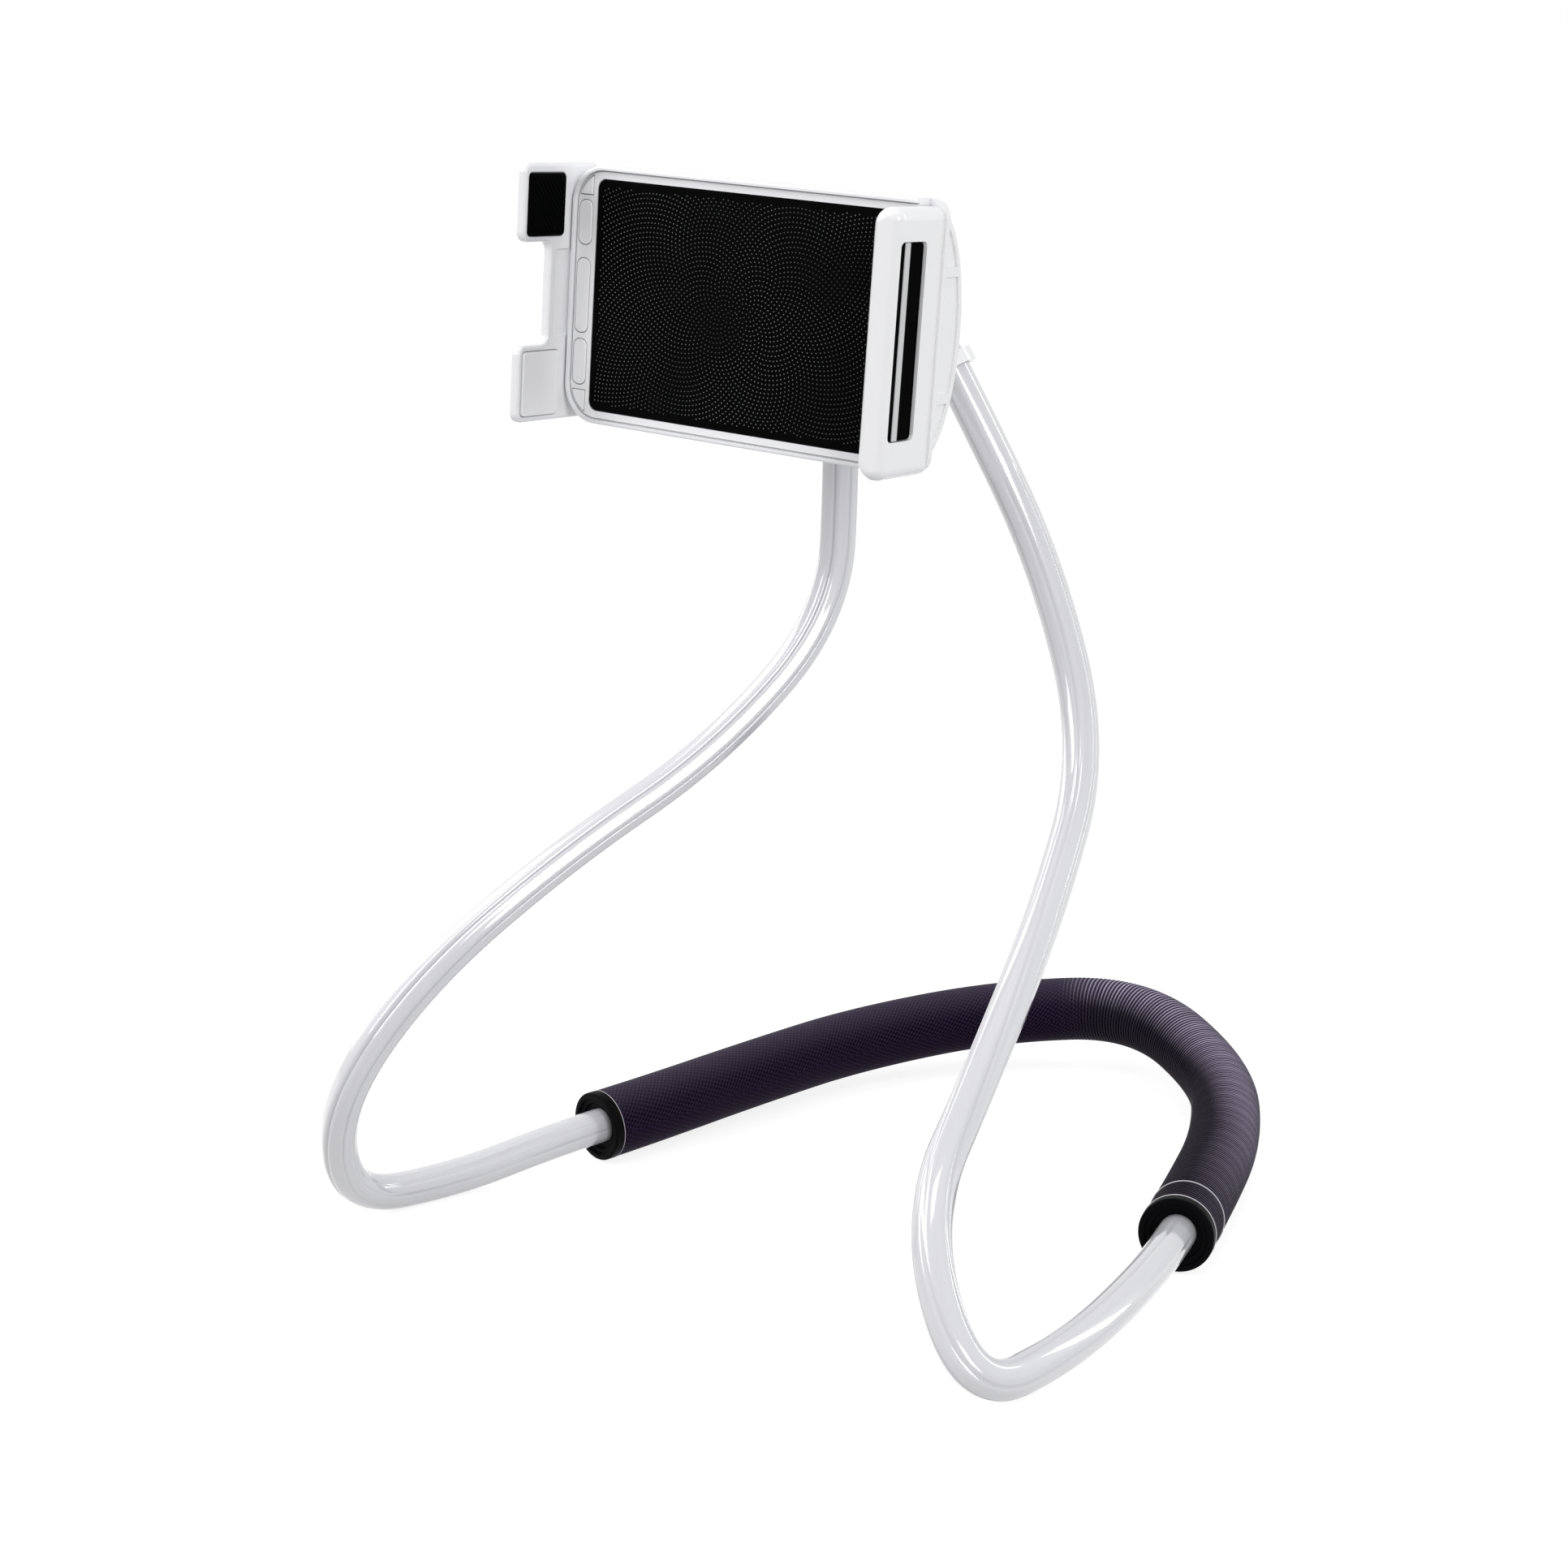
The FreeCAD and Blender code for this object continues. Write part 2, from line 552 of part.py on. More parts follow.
def build_springs():
    """Return springs, drawn as plain sleeves of the coils' outer size."""
    springs = {}
    start_x = EAR_X + EAR_LENGTH + SLIDE_ROOM
    end_x = SPRING_ANCHOR_X
    centre_y = FRAME_DEPTH + TONGUE_GAP + SPRING_D / 2
    for side, name in ((1, "return_spring_upper"), (-1, "return_spring_lower")):
        z = side * (TONGUE_HEIGHT / 2 + 2 * SLIDE_ROOM + RIB_WIDTH + SPRING_D / 2)
        start = Vector(start_x, centre_y, z)
        coil = Part.makeCylinder(SPRING_D / 2, end_x - start_x, start, X_AXIS)
        bore = Part.makeCylinder(SPRING_D / 2 - SPRING_WIRE, end_x - start_x, start, X_AXIS)
        springs[name] = coil.cut(bore)
    return springs


def build_swivel_head_side():
    """Bush and ring nut, which turn with the head."""
    bore_d = POST_D + 2 * POST_ROOM
    outer_d = bore_d + 2 * BUSH_WALL
    flange = rod(BUSH_FLANGE_D, (BOSS_BACK_Y, BOSS_BACK_Y + BUSH_FLANGE))
    bush = join(rod(outer_d, (BOSS_FRONT_Y, BOSS_BACK_Y)), flange)
    bush = bush.cut(rod(bore_d, (BOSS_FRONT_Y, BOSS_BACK_Y + BUSH_FLANGE)))
    nut_y = (BOSS_BACK_Y - RING_NUT_LENGTH, BOSS_BACK_Y)
    nut = rod(RING_NUT_D, nut_y).cut(rod(BOSS_D + 2 * FACE_ROOM, nut_y))
    notches = []
    for index in range(RING_NUT_NOTCHES):
        angle = 2 * math.pi * index / RING_NUT_NOTCHES
        x = math.cos(angle) * RING_NUT_D / 2
        z = math.sin(angle) * RING_NUT_D / 2
        notches.append(rod(RING_NUT_NOTCH_D, nut_y, x, z))
    return {"swivel_bush": bush, "ring_nut": nut.cut(notches)}


def build_yoke():
    """Hub on the tube's upper end: swivel post, tube socket and the ring that takes the free end."""
    top = CORNERS[0]
    axis_x, axis_z = HUB.x, HUB.z
    socket_d = TUBE_D + 2 * (TUBE_ROOM + SOCKET_WALL)
    socket_base = top - Z_AXIS * (SOCKET_LENGTH - SOCKET_TOP - NECK_D / 2)
    tube_stop = top.z + TUBE_ROOM
    socket_height = tube_stop + NECK_D / 2 - socket_base.z
    socket = Part.makeCylinder(socket_d / 2, socket_height, socket_base, Z_AXIS)
    socket = socket.makeFillet(SOCKET_ROUND, [edge for edge in socket.Edges if edge.Closed])
    post_end = PAD_FRONT_Y + BOSS_FRONT_Y - FACE_ROOM - WASHER_THICKNESS
    washer_face = PAD_FRONT_Y + BOSS_FRONT_Y - FACE_ROOM
    shoulder = PAD_FRONT_Y + BOSS_BACK_Y + BUSH_FLANGE + FACE_ROOM
    neck = rod(NECK_D, (shoulder, top.y), axis_x, axis_z)
    post = rod(POST_D, (washer_face, top.y), axis_x, axis_z)

    # Arm to the free end, and the ring round it
    ring_way = unit(CORNERS[-1] - CORNERS[-2])
    ring_centre = CORNERS[-2] + (CORNERS[-1] - CORNERS[-2]) * RING_PLACE
    ring_d = TUBE_D + 2 * (TUBE_ROOM + RING_WALL)
    ring_base = ring_centre - ring_way * (RING_LENGTH / 2)
    ring = Part.makeCylinder(ring_d / 2, RING_LENGTH, ring_base, ring_way)
    arm_start = Vector(top.x, top.y, ring_centre.z)
    reach = Vector(ring_centre.x - top.x, ring_centre.y - top.y, 0)
    arm = Part.makeBox(reach.Length, ARM_WIDTH, ARM_HEIGHT, Vector(0, -ARM_WIDTH / 2, -ARM_HEIGHT / 2))
    arm = arm.makeFillet(ARM_ROUND, edges_along(arm, X_AXIS))
    arm.Placement = Placement(arm_start, Rotation(X_AXIS, reach))
    yoke = join(join(socket, neck, post), join(arm, ring))

    # Ways through: tube, free end, hub screw and set screw
    bore = TUBE_D / 2 + TUBE_ROOM
    tube_way = Part.makeCylinder(bore, tube_stop - socket_base.z, socket_base, Z_AXIS)
    free_start = ring_base - ring_way * ARM_HEIGHT
    free_way = Part.makeCylinder(bore, RING_LENGTH + 2 * ARM_HEIGHT, free_start, ring_way)
    screw_hole = rod(HUB_SCREW_D + 2 * SCREW_ROOM, (washer_face, post_end + HUB_SCREW_LENGTH + SCREW_ROOM),
                     axis_x, axis_z)
    set_z = socket_base.z + SET_SCREW_RISE
    set_start = Vector(top.x, top.y + TUBE_D / 2 + TUBE_ROOM, set_z)
    hole_start = set_start - Y_AXIS * SOCKET_WALL
    set_hole = Part.makeCylinder(SET_SCREW_D / 2 + SCREW_ROOM, SOCKET_WALL * 2, hole_start, Y_AXIS)
    yoke = yoke.cut([tube_way, free_way, screw_hole, set_hole])
    set_screw = Part.makeCylinder(SET_SCREW_D / 2, SOCKET_WALL, set_start, Y_AXIS)

    # Washer and screw that keep the head on the post
    washer = rod(WASHER_D, (post_end, washer_face), axis_x, axis_z)
    washer = washer.cut(rod(HUB_SCREW_D + 2 * SCREW_ROOM, (post_end, washer_face), axis_x, axis_z))
    screw = join(
        rod(HUB_SCREW_D, (post_end, post_end + HUB_SCREW_LENGTH), axis_x, axis_z),
        rod(HUB_SCREW_HEAD_D, (post_end - HUB_SCREW_HEAD, post_end), axis_x, axis_z),
    )
    return {"hub_yoke": yoke, "socket_set_screw": set_screw, "hub_washer": washer, "hub_screw": screw}


def placed(shape):
    """A copy of a head piece at its place on the stand."""
    copy = shape.copy()
    copy.Placement = HEAD_PLACE.multiply(copy.Placement)
    return copy


def build_head():
    """All pieces of the head, turned and set in place on the swivel axis."""
    pieces = {}
    for build in (build_face, build_fixed_jaw, build_sliding_jaw, build_shell, build_springs,
                  build_swivel_head_side):
        pieces.update(build())
    return {name: placed(shape) for name, shape in pieces.items()}


def ground_shift(shapes):
    """Move that puts the whole on the ground with the origin under its middle."""
    limits = FreeCAD.BoundBox()
    for shape in shapes:
        limits.add(shape.optimalBoundingBox(False, False))
    return Vector(-limits.Center.x, -limits.Center.y, -limits.ZMin)


def build_all():
    """Every piece by name, standing on the ground."""
    pieces = {}
    for build in (build_tube, build_sleeve, build_yoke, build_head):
        pieces.update(build())
    shift = ground_shift(pieces.values())
    for shape in pieces.values():
        shape.translate(shift)
    return pieces


def main():
    """Writes each piece to its own file."""
    os.makedirs("parts", exist_ok=True)
    for name, shape in build_all().items():
        shape.exportStep("parts/" + name + ".step")


main()
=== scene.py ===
import json
import logging
import math
from dataclasses import dataclass, field
from enum import Enum
from functools import cache

import bpy
import numpy as np
from mathutils import Matrix, Vector


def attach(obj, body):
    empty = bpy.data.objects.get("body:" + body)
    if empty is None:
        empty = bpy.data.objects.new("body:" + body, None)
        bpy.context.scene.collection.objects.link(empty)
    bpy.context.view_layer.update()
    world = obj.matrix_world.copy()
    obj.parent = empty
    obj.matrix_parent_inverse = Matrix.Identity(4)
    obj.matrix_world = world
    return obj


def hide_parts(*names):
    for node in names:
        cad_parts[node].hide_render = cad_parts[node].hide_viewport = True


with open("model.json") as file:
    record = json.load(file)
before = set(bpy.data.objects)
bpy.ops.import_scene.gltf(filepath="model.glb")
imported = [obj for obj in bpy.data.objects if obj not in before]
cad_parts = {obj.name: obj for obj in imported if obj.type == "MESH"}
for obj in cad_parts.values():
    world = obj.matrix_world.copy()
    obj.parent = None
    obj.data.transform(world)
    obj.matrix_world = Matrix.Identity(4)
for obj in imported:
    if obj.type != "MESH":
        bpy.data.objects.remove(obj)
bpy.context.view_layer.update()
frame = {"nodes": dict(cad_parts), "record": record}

# Neck phone holder: finishes, soft parts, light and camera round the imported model, in metres
LOG = logging.getLogger("neck_phone_holder")
MM = 0.001
FULL_TURN = 2.0 * math.pi
Color = tuple[float, float, float]
Point = tuple[float, float, float]
Span = tuple[float, float]
Face = tuple[int, ...]
Array = np.ndarray
Socket = bpy.types.NodeSocket
Tree = bpy.types.NodeTree
WHITE: Color = (1.0, 1.0, 1.0)
WELD_GAP = 0.002 * MM
FLAT_ANGLE = math.radians(1.0)
EDGE_ANGLE = math.radians(35.0)
EDGE_SEGMENTS = 2


class Body(Enum):
    """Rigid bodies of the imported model."""

    LOOP = "loop"
    HEAD = "head"
    JAW = "sliding_jaw"


class Effect(Enum):
    """Shared effects, each of them one shader node group."""

    GRAIN = "moulded_grain"
    # Painted shade: darkens the colour in seams and corners by ambient occlusion.
    SEAM = "seam_shade"
    WEAVE = "cloth_weave"
    STREAK = "drawn_streaks"


class Bench:
    """Adds nodes to one shader tree and links them."""

    COLUMNS = 12
    SPACING = (180, -260)

    def __init__(self, tree: Tree) -> None:
        """Takes the tree and clears it.

        Args:
            tree: Node tree of a material, world or group.
        """
        self.tree = tree
        tree.nodes.clear()
        self.count = 0

    def add(self, kind: str, sockets: dict | None = None, **settings: object) -> bpy.types.Node:
        """Adds one node.

        Args:
            kind: Node type, such as "ShaderNodeMath".
            sockets: Input name or number to a value, or to an output socket that feeds it.
            settings: Properties of the node itself.

        Returns:
            The new node.
        """
        node = self.tree.nodes.new(kind)
        row, column = divmod(self.count, self.COLUMNS)
        node.location = (column * self.SPACING[0], row * self.SPACING[1])
        self.count += 1
        for name, value in settings.items():
            setattr(node, name, value)
        for name, value in (sockets or {}).items():
            if isinstance(value, Socket):
                self.tree.links.new(value, node.inputs[name])
            else:
                node.inputs[name].default_value = value
        return node

    def math(self, operation: str, first: object, second: object = 0.0) -> Socket:
        """Adds one sum of values or sockets and gives the result's socket."""
        return self.add("ShaderNodeMath", {0: first, 1: second}, operation=operation).outputs[0]

    def mix(self, share: object, first: object, second: object) -> Socket:
        """Mixes two colours by the second one's share and gives the mixed colour's socket."""
        values = {0: share, 6: first, 7: second}
        return self.add("ShaderNodeMix", values, data_type="RGBA").outputs[2]

    def span(self, value: object, low: float, high: float, start: float, end: float) -> Socket:
        """Maps the range from low to high smoothly onto the one from start to end."""
        values = {0: value, 1: low, 2: high, 3: start, 4: end}
        return self.add("ShaderNodeMapRange", values, interpolation_type="SMOOTHSTEP").outputs[0]

    def noise(self, place: object, scale: object, detail: float) -> Socket:
        """Adds a noise from 0 to 1 with some finer layers and gives its socket."""
        values = {"Vector": place, "Scale": scale, "Detail": detail}
        return self.add("ShaderNodeTexNoise", values).outputs[0]

    def attribute(self, name: str, output: str = "Fac") -> Socket:
        """Gives the socket of a value that a mesh carries."""
        return self.add("ShaderNodeAttribute", attribute_name=name).outputs[output]

    def effect(self, effect: Effect, sockets: dict) -> bpy.types.Node:
        """Adds the group node of one shared effect."""
        return self.add("ShaderNodeGroup", sockets, node_tree=EFFECTS.get(effect))


class EffectShop:
    """Builds each shared effect once and hands it out."""

    CLOUD_SCALE = 55.0
    CLOUD_DETAIL = 3.0
    CLOUD_RANGE = (0.35, 0.7)
    FINE_DETAIL = 2.0
    SHADE_RANGE = (0.15, 0.75)
    SHADE_SAMPLES = 8
    WARP_SHARE = 0.5
    WEFT_SHARE = 0.35
    WEFT_LEAN = 0.5
    THREAD_RANGE = (-0.6, 0.7)
    STREAK_RANGE = (0.42, 0.62)

    @cache
    def get(self, effect: Effect) -> Tree:
        """Gives the node group of one effect, built at its first use.

        Args:
            effect: The effect wanted.

        Returns:
            Its node group.
        """
        builders = {
            Effect.GRAIN: self._grain,
            Effect.SEAM: self._seam,
            Effect.WEAVE: self._weave,
            Effect.STREAK: self._streak,
        }
        return builders[effect]()

    @staticmethod
    def _open(
        effect: Effect, inputs: dict[str, str], outputs: dict[str, str]
    ) -> tuple[Bench, bpy.types.Node]:
        """Starts a group with its sockets.

        Args:
            effect: Effect that names the group.
            inputs: Name and kind of each input.
            outputs: Name and kind of each output.

        Returns:
            The group's bench and its input node.
        """
        tree = bpy.data.node_groups.new(effect.value, "ShaderNodeTree")
        for way, sockets in (("INPUT", inputs), ("OUTPUT", outputs)):
            for name, kind in sockets.items():
                tree.interface.new_socket(name, in_out=way, socket_type="NodeSocket" + kind)
        bench = Bench(tree)
        return bench, bench.add("NodeGroupInput")

    def _grain(self) -> Tree:
        """Fine moulded grain with a faint cloudiness: colour, roughness and height.

        Returns:
            The node group.
        """
        bench, given = self._open(
            Effect.GRAIN,
            {"Color": "Color", "Cloud Color": "Color", "Cloud": "Float", "Roughness": "Float",
             "Spread": "Float", "Scale": "Float"},
            {"Color": "Color", "Roughness": "Float", "Height": "Float"},
        )
        place = bench.add("ShaderNodeTexCoord").outputs["Object"]
        cloud = bench.noise(place, self.CLOUD_SCALE, self.CLOUD_DETAIL)
        grain = bench.noise(place, given.outputs["Scale"], self.FINE_DETAIL)
        cloudy = bench.span(cloud, *self.CLOUD_RANGE, 0.0, 1.0)
        share = bench.math("MULTIPLY", cloudy, given.outputs["Cloud"])
        swing = bench.math("MULTIPLY", bench.math("SUBTRACT", grain, 0.5), given.outputs["Spread"])
        color = bench.mix(share, given.outputs["Color"], given.outputs["Cloud Color"])
        rough = bench.math("ADD", given.outputs["Roughness"], swing)
        bench.add("NodeGroupOutput", {"Color": color, "Roughness": rough, "Height": grain})
        return bench.tree

    def _seam(self) -> Tree:
        """Painted shade in seams and corners, darker where ambient occlusion finds surfaces close by:
        colour.

        Returns:
            The node group.
        """
        bench, given = self._open(
            Effect.SEAM,
            {"Color": "Color", "Shade Color": "Color", "Strength": "Float", "Reach": "Float"},
            {"Color": "Color"},
        )
        values = {"Distance": given.outputs["Reach"]}
        open_share = bench.add("ShaderNodeAmbientOcclusion", values, samples=self.SHADE_SAMPLES)
        shade = bench.span(open_share.outputs["AO"], *self.SHADE_RANGE, 1.0, 0.0)
        share = bench.math("MULTIPLY", shade, given.outputs["Strength"])
        color = bench.mix(share, given.outputs["Color"], given.outputs["Shade Color"])
        bench.add("NodeGroupOutput", {"Color": color})
        return bench.tree

    def _weave(self) -> Tree:
        """Fine slanted weave laid along a sleeve: thread mask and height.

        Returns:
            The node group.
        """
        bench, given = self._open(
            Effect.WEAVE,
            {"Along": "Float", "Around": "Float", "Slant": "Float"},
            {"Mask": "Float", "Height": "Float"},
        )
        along, around = given.outputs["Along"], given.outputs["Around"]
        leaning = bench.math("ADD", along, bench.math("MULTIPLY", around, given.outputs["Slant"]))
        across = bench.math("SUBTRACT", around, bench.math("MULTIPLY", along, self.WEFT_LEAN))
        warp = bench.math("MULTIPLY", bench.math("SINE", leaning), self.WARP_SHARE)
        weft = bench.math("MULTIPLY", bench.math("SINE", across), self.WEFT_SHARE)
        height = bench.math("ADD", warp, weft)
        mask = bench.span(height, *self.THREAD_RANGE, 0.0, 1.0)
        bench.add("NodeGroupOutput", {"Mask": mask, "Height": height})
        return bench.tree

    def _streak(self) -> Tree:
        """Long faint streaks of a drawn tube: mask.

        Returns:
            The node group.
        """
        bench, given = self._open(Effect.STREAK, {"Place": "Vector", "Fineness": "Float"}, {"Mask": "Float"})
        noise = bench.noise(given.outputs["Place"], given.outputs["Fineness"], self.FINE_DETAIL)
        bench.add("NodeGroupOutput", {"Mask": bench.span(noise, *self.STREAK_RANGE, 0.0, 1.0)})
        return bench.tree


EFFECTS = EffectShop()


def rgba(color: Color) -> tuple[float, float, float, float]:
    """Gives a colour with full alpha."""
    return (*color, 1.0)


@dataclass(frozen=True)
class Finish:
    """A finish with fine grain and painted shade in its seams, the base of the others."""

    name: str
    color: Color
    cloud_color: Color
    roughness: float
    cloud: float = 0.35
    spread: float = 0.08
    grain_scale: float = 2600.0
    grain_depth: float = 0.000012
    # Painted shade in seams and corners: its colour, strength and reach.
    painted_shade_color: Color = (0.3, 0.3, 0.32)
    painted_shade_strength: float = 0.0
    painted_shade_reach: float = 0.0012
    coat: float = 0.0
    coat_roughness: float = 0.08
    coat_ior: float = 1.5
    metallic: float = 0.0
    specular: float = 0.5
    sheen: float = 0.0
    sheen_color: Color = WHITE
    sheen_roughness: float = 0.4

    @cache
    def material(self) -> bpy.types.Material:
        """Builds the material, once for each finish.

        Returns:
            The material.
        """
        material = bpy.data.materials.new(self.name)
        material.use_nodes = True
        bench = Bench(material.node_tree)
        values = {
            "Color": rgba(self.color),
            "Cloud Color": rgba(self.cloud_color),
            "Cloud": self.cloud,
            "Roughness": self.roughness,
            "Spread": self.spread,
            "Scale": self.grain_scale,
        }
        grain = bench.effect(Effect.GRAIN, values)
        height, depth = self._height(bench, grain.outputs["Height"])
        bump = bench.add("ShaderNodeBump", {"Height": height, "Distance": depth, "Strength": 1.0})
        sockets = {
            "Base Color": self._color(bench, grain.outputs["Color"]),
            "Roughness": grain.outputs["Roughness"],
            "Normal": bump.outputs["Normal"],
        }
        self._shader(bench, sockets)
        return material

    def _shader(self, bench: Bench, sockets: dict[str, Socket]) -> None:
        """Adds the shader and the output, with the plain values set on the shader.

        Args:
            bench: Bench of the material.
            sockets: What feeds the shader's other inputs.
        """
        values = {
            "Metallic": self.metallic,
            "Specular IOR Level": self.specular,
            "Coat Weight": self.coat,
            "Coat Roughness": self.coat_roughness,
            "Coat IOR": self.coat_ior,
            "Sheen Weight": self.sheen,
            "Sheen Roughness": self.sheen_roughness,
            "Sheen Tint": rgba(self.sheen_color),
        }
        shader = bench.add("ShaderNodeBsdfPrincipled", values | sockets)
        bench.add("ShaderNodeOutputMaterial", {"Surface": shader.outputs[0]})

    def _color(self, bench: Bench, color: Socket) -> Socket:
        """Adds the painted shade in seams, if this finish has any.

        Args:
            bench: Bench of the material.
            color: Colour so far.

        Returns:
            The colour for the shader.
        """
        if self.painted_shade_strength <= 0.0:
            return color
        values = {
            "Color": color,
            "Shade Color": rgba(self.painted_shade_color),
            "Strength": self.painted_shade_strength,
            "Reach": self.painted_shade_reach,
        }
        return bench.effect(Effect.SEAM, values).outputs["Color"]

    def _height(self, bench: Bench, grain: Socket) -> tuple[Socket, float]:
        """Gives the height that feeds the bump, and its depth in metres."""
        return grain, self.grain_depth


@dataclass(frozen=True)
class TubeFinish(Finish):
    """Drawn glossy plastic with long faint streaks and painted shade in its creases."""

    streak_color: Color = (0.56, 0.56, 0.61)
    streak_strength: float = 0.35
    streak_fineness: float = 2.2
    # Painted shade in the creases between lobes and along the fold: its colour and strength.
    painted_crease_shade_color: Color = (0.4, 0.4, 0.44)
    painted_crease_shade_strength: float = 0.6

    def _color(self, bench: Bench, color: Socket) -> Socket:
        """Adds the streaks and the painted shade in the creases between lobes and along the fold, under the
        painted seam shade.

        Args:
            bench: Bench of the material.
            color: Colour so far.

        Returns:
            The colour for the shader.
        """
        place = bench.attribute(Sweep.STREAK_SPACE, "Vector")
        streaks = bench.effect(Effect.STREAK, {"Place": place, "Fineness": self.streak_fineness})
        share = bench.math("MULTIPLY", streaks.outputs["Mask"], self.streak_strength)
        streaked = bench.mix(share, color, rgba(self.streak_color))
        deep = bench.math("MULTIPLY", bench.attribute(Sweep.PAINTED_CREASE_SHADE), self.painted_crease_shade_strength)
        return super()._color(bench, bench.mix(deep, streaked, rgba(self.painted_crease_shade_color)))


@dataclass(frozen=True)
class ClothFinish(Finish):
    """Dark cloth with a fine slanted weave that runs along a sleeve, and a painted highlight on its ribs."""

    thread_color: Color = (0.075, 0.058, 0.105)
    # Colour of the painted highlight on the rib crests and the cover's lit side.
    painted_highlight_color: Color = (0.57, 0.49, 0.69)
    thread_pitch: float = 0.00115
    slant: float = 1.0
    weave_depth: float = 0.00014
    rib_calm: float = 0.85

    def _weave(self, bench: Bench) -> bpy.types.Node:
        """Adds the weave effect on the sleeve's own coordinates.

        Args:
            bench: Bench of the material.

        Returns:
            The group node.
        """
        uv = bench.add("ShaderNodeUVMap", uv_map=Sweep.UV_NAME)
        parts = bench.add("ShaderNodeSeparateXYZ", {0: uv.outputs[0]})
        turns = FULL_TURN / self.thread_pitch
        values = {
            "Along": bench.math("MULTIPLY", parts.outputs[0], turns),
            "Around": bench.math("MULTIPLY", parts.outputs[1], turns),
            "Slant": self.slant,
        }
        return bench.effect(Effect.WEAVE, values)

    def _woven(self, bench: Bench, value: Socket) -> Socket:
        """Weakens a value of the weave where the cloth is stretched into ribs."""
        ribbed = bench.attribute(Sweep.RIBBED)
        return bench.math("MULTIPLY", value, bench.span(ribbed, 0.0, 1.0, 1.0, 1.0 - self.rib_calm))

    def _color(self, bench: Bench, color: Socket) -> Socket:
        """Lightens the threads, and paints a highlight on the crests of the ribs, strongest in a band along
        the cover's lit side.

        Args:
            bench: Bench of the material.
            color: Colour so far.

        Returns:
            The colour for the shader.
        """
        threads = self._woven(bench, self._weave(bench).outputs["Mask"])
        woven = bench.mix(threads, color, rgba(self.thread_color))
        painted_highlight = bench.mix(bench.attribute(Sweep.PAINTED_HIGHLIGHT), woven, rgba(self.painted_highlight_color))
        return super()._color(bench, painted_highlight)

    def _height(self, bench: Bench, grain: Socket) -> tuple[Socket, float]:
        """Gives the threads' height, with the grain under it, and their depth in metres.

        Args:
            bench: Bench of the material.
            grain: Height of the grain.

        Returns:
            The height's socket and its depth.
        """
        fine = bench.math("MULTIPLY", grain, self.grain_depth / self.weave_depth)
        threads = self._woven(bench, self._weave(bench).outputs["Height"])
        return bench.math("ADD", threads, fine), self.weave_depth

    def _shader(self, bench: Bench, sockets: dict[str, Socket]) -> None:
        """Adds the shader, which shines where the cloth is stretched over its ribs."""
        weight = bench.math("MULTIPLY", bench.attribute(Sweep.STRETCH), self.coat)
        super()._shader(bench, sockets | {"Coat Weight": weight})


WHITE_PLASTIC = Finish(
    "white_head_plastic", (0.87, 0.87, 0.89), (0.845, 0.845, 0.87), 0.22,
    painted_shade_color=(0.42, 0.42, 0.45), painted_shade_strength=0.5, painted_shade_reach=0.0008, coat=0.35,
)
# Painted light: the jaw's white plastic made lighter, so that the lower claw's inset, which the lamps barely
# reach, shows as light as the rest.
LIT_INSET_PLASTIC = Finish(
    "white_inset_painted_light", (0.93, 0.93, 0.945), (0.91, 0.91, 0.93), 0.3,
    painted_shade_color=(0.55, 0.55, 0.58), painted_shade_strength=0.2, painted_shade_reach=0.0006, coat=0.2,
)
GREY_STUD = Finish(
    "grey_stud_rubber", (0.88, 0.88, 0.9), (0.84, 0.84, 0.87), 0.4,
    painted_shade_color=(0.3, 0.3, 0.32), painted_shade_strength=0.45, painted_shade_reach=0.0004,
)
TUBE_PLASTIC = TubeFinish(
    "white_tube_plastic", (0.67, 0.67, 0.705), (0.64, 0.64, 0.68), 0.25, spread=0.02, grain_depth=0.000001,
    painted_shade_color=(0.36, 0.36, 0.39), painted_shade_strength=0.5, painted_shade_reach=0.002, coat=1.0, coat_roughness=0.05,
    coat_ior=1.75,
)
CAP_PLASTIC = Finish("white_cap_plastic", (0.8, 0.8, 0.83), (0.76, 0.76, 0.8), 0.25, painted_shade_strength=0.5)
SLEEVE_CLOTH = ClothFinish(
    "violet_black_cloth", (0.0016, 0.0008, 0.0028), (0.0035, 0.0018, 0.006), 0.5,
    cloud=0.8, spread=0.15, specular=0.02, coat=0.2, coat_roughness=0.26, sheen=0.02,
    sheen_color=(0.72, 0.58, 1.0), sheen_roughness=0.35, thread_color=(0.027, 0.015, 0.042),
)
PIPING_RUBBER = Finish("grey_piping_rubber", (0.6, 0.59, 0.63), (0.5, 0.49, 0.54), 0.3, coat=0.3)
END_RUBBER = Finish(
    "black_end_rubber", (0.002, 0.002, 0.0025), (0.005, 0.004, 0.006), 0.42, spread=0.12, specular=0.03,
)
PAD_RUBBER = Finish(
    "black_pad_rubber", (0.002, 0.002, 0.0022), (0.004, 0.004, 0.0045), 0.5, spread=0.12, specular=0.008,
)
DOT_RUBBER = Finish(
    "grey_dot_rubber", (0.17, 0.17, 0.17), (0.05, 0.05, 0.052), 0.4, cloud=1.0, specular=0.15,
)
WINDOW_GLOSS = Finish(
    "black_window_gloss", (0.0008, 0.0008, 0.001), (0.0018, 0.0018, 0.002), 0.12, specular=0.004,
)
STRIP_GREY = Finish("grey_window_strip", (0.6, 0.6, 0.61), (0.52, 0.52, 0.53), 0.35)
STEEL = Finish("plain_steel", (0.55, 0.55, 0.57), (0.48, 0.48, 0.5), 0.32, metallic=1.0)
BUSH_PLASTIC = Finish("bush_plastic", (0.62, 0.62, 0.63), (0.56, 0.56, 0.58), 0.4)


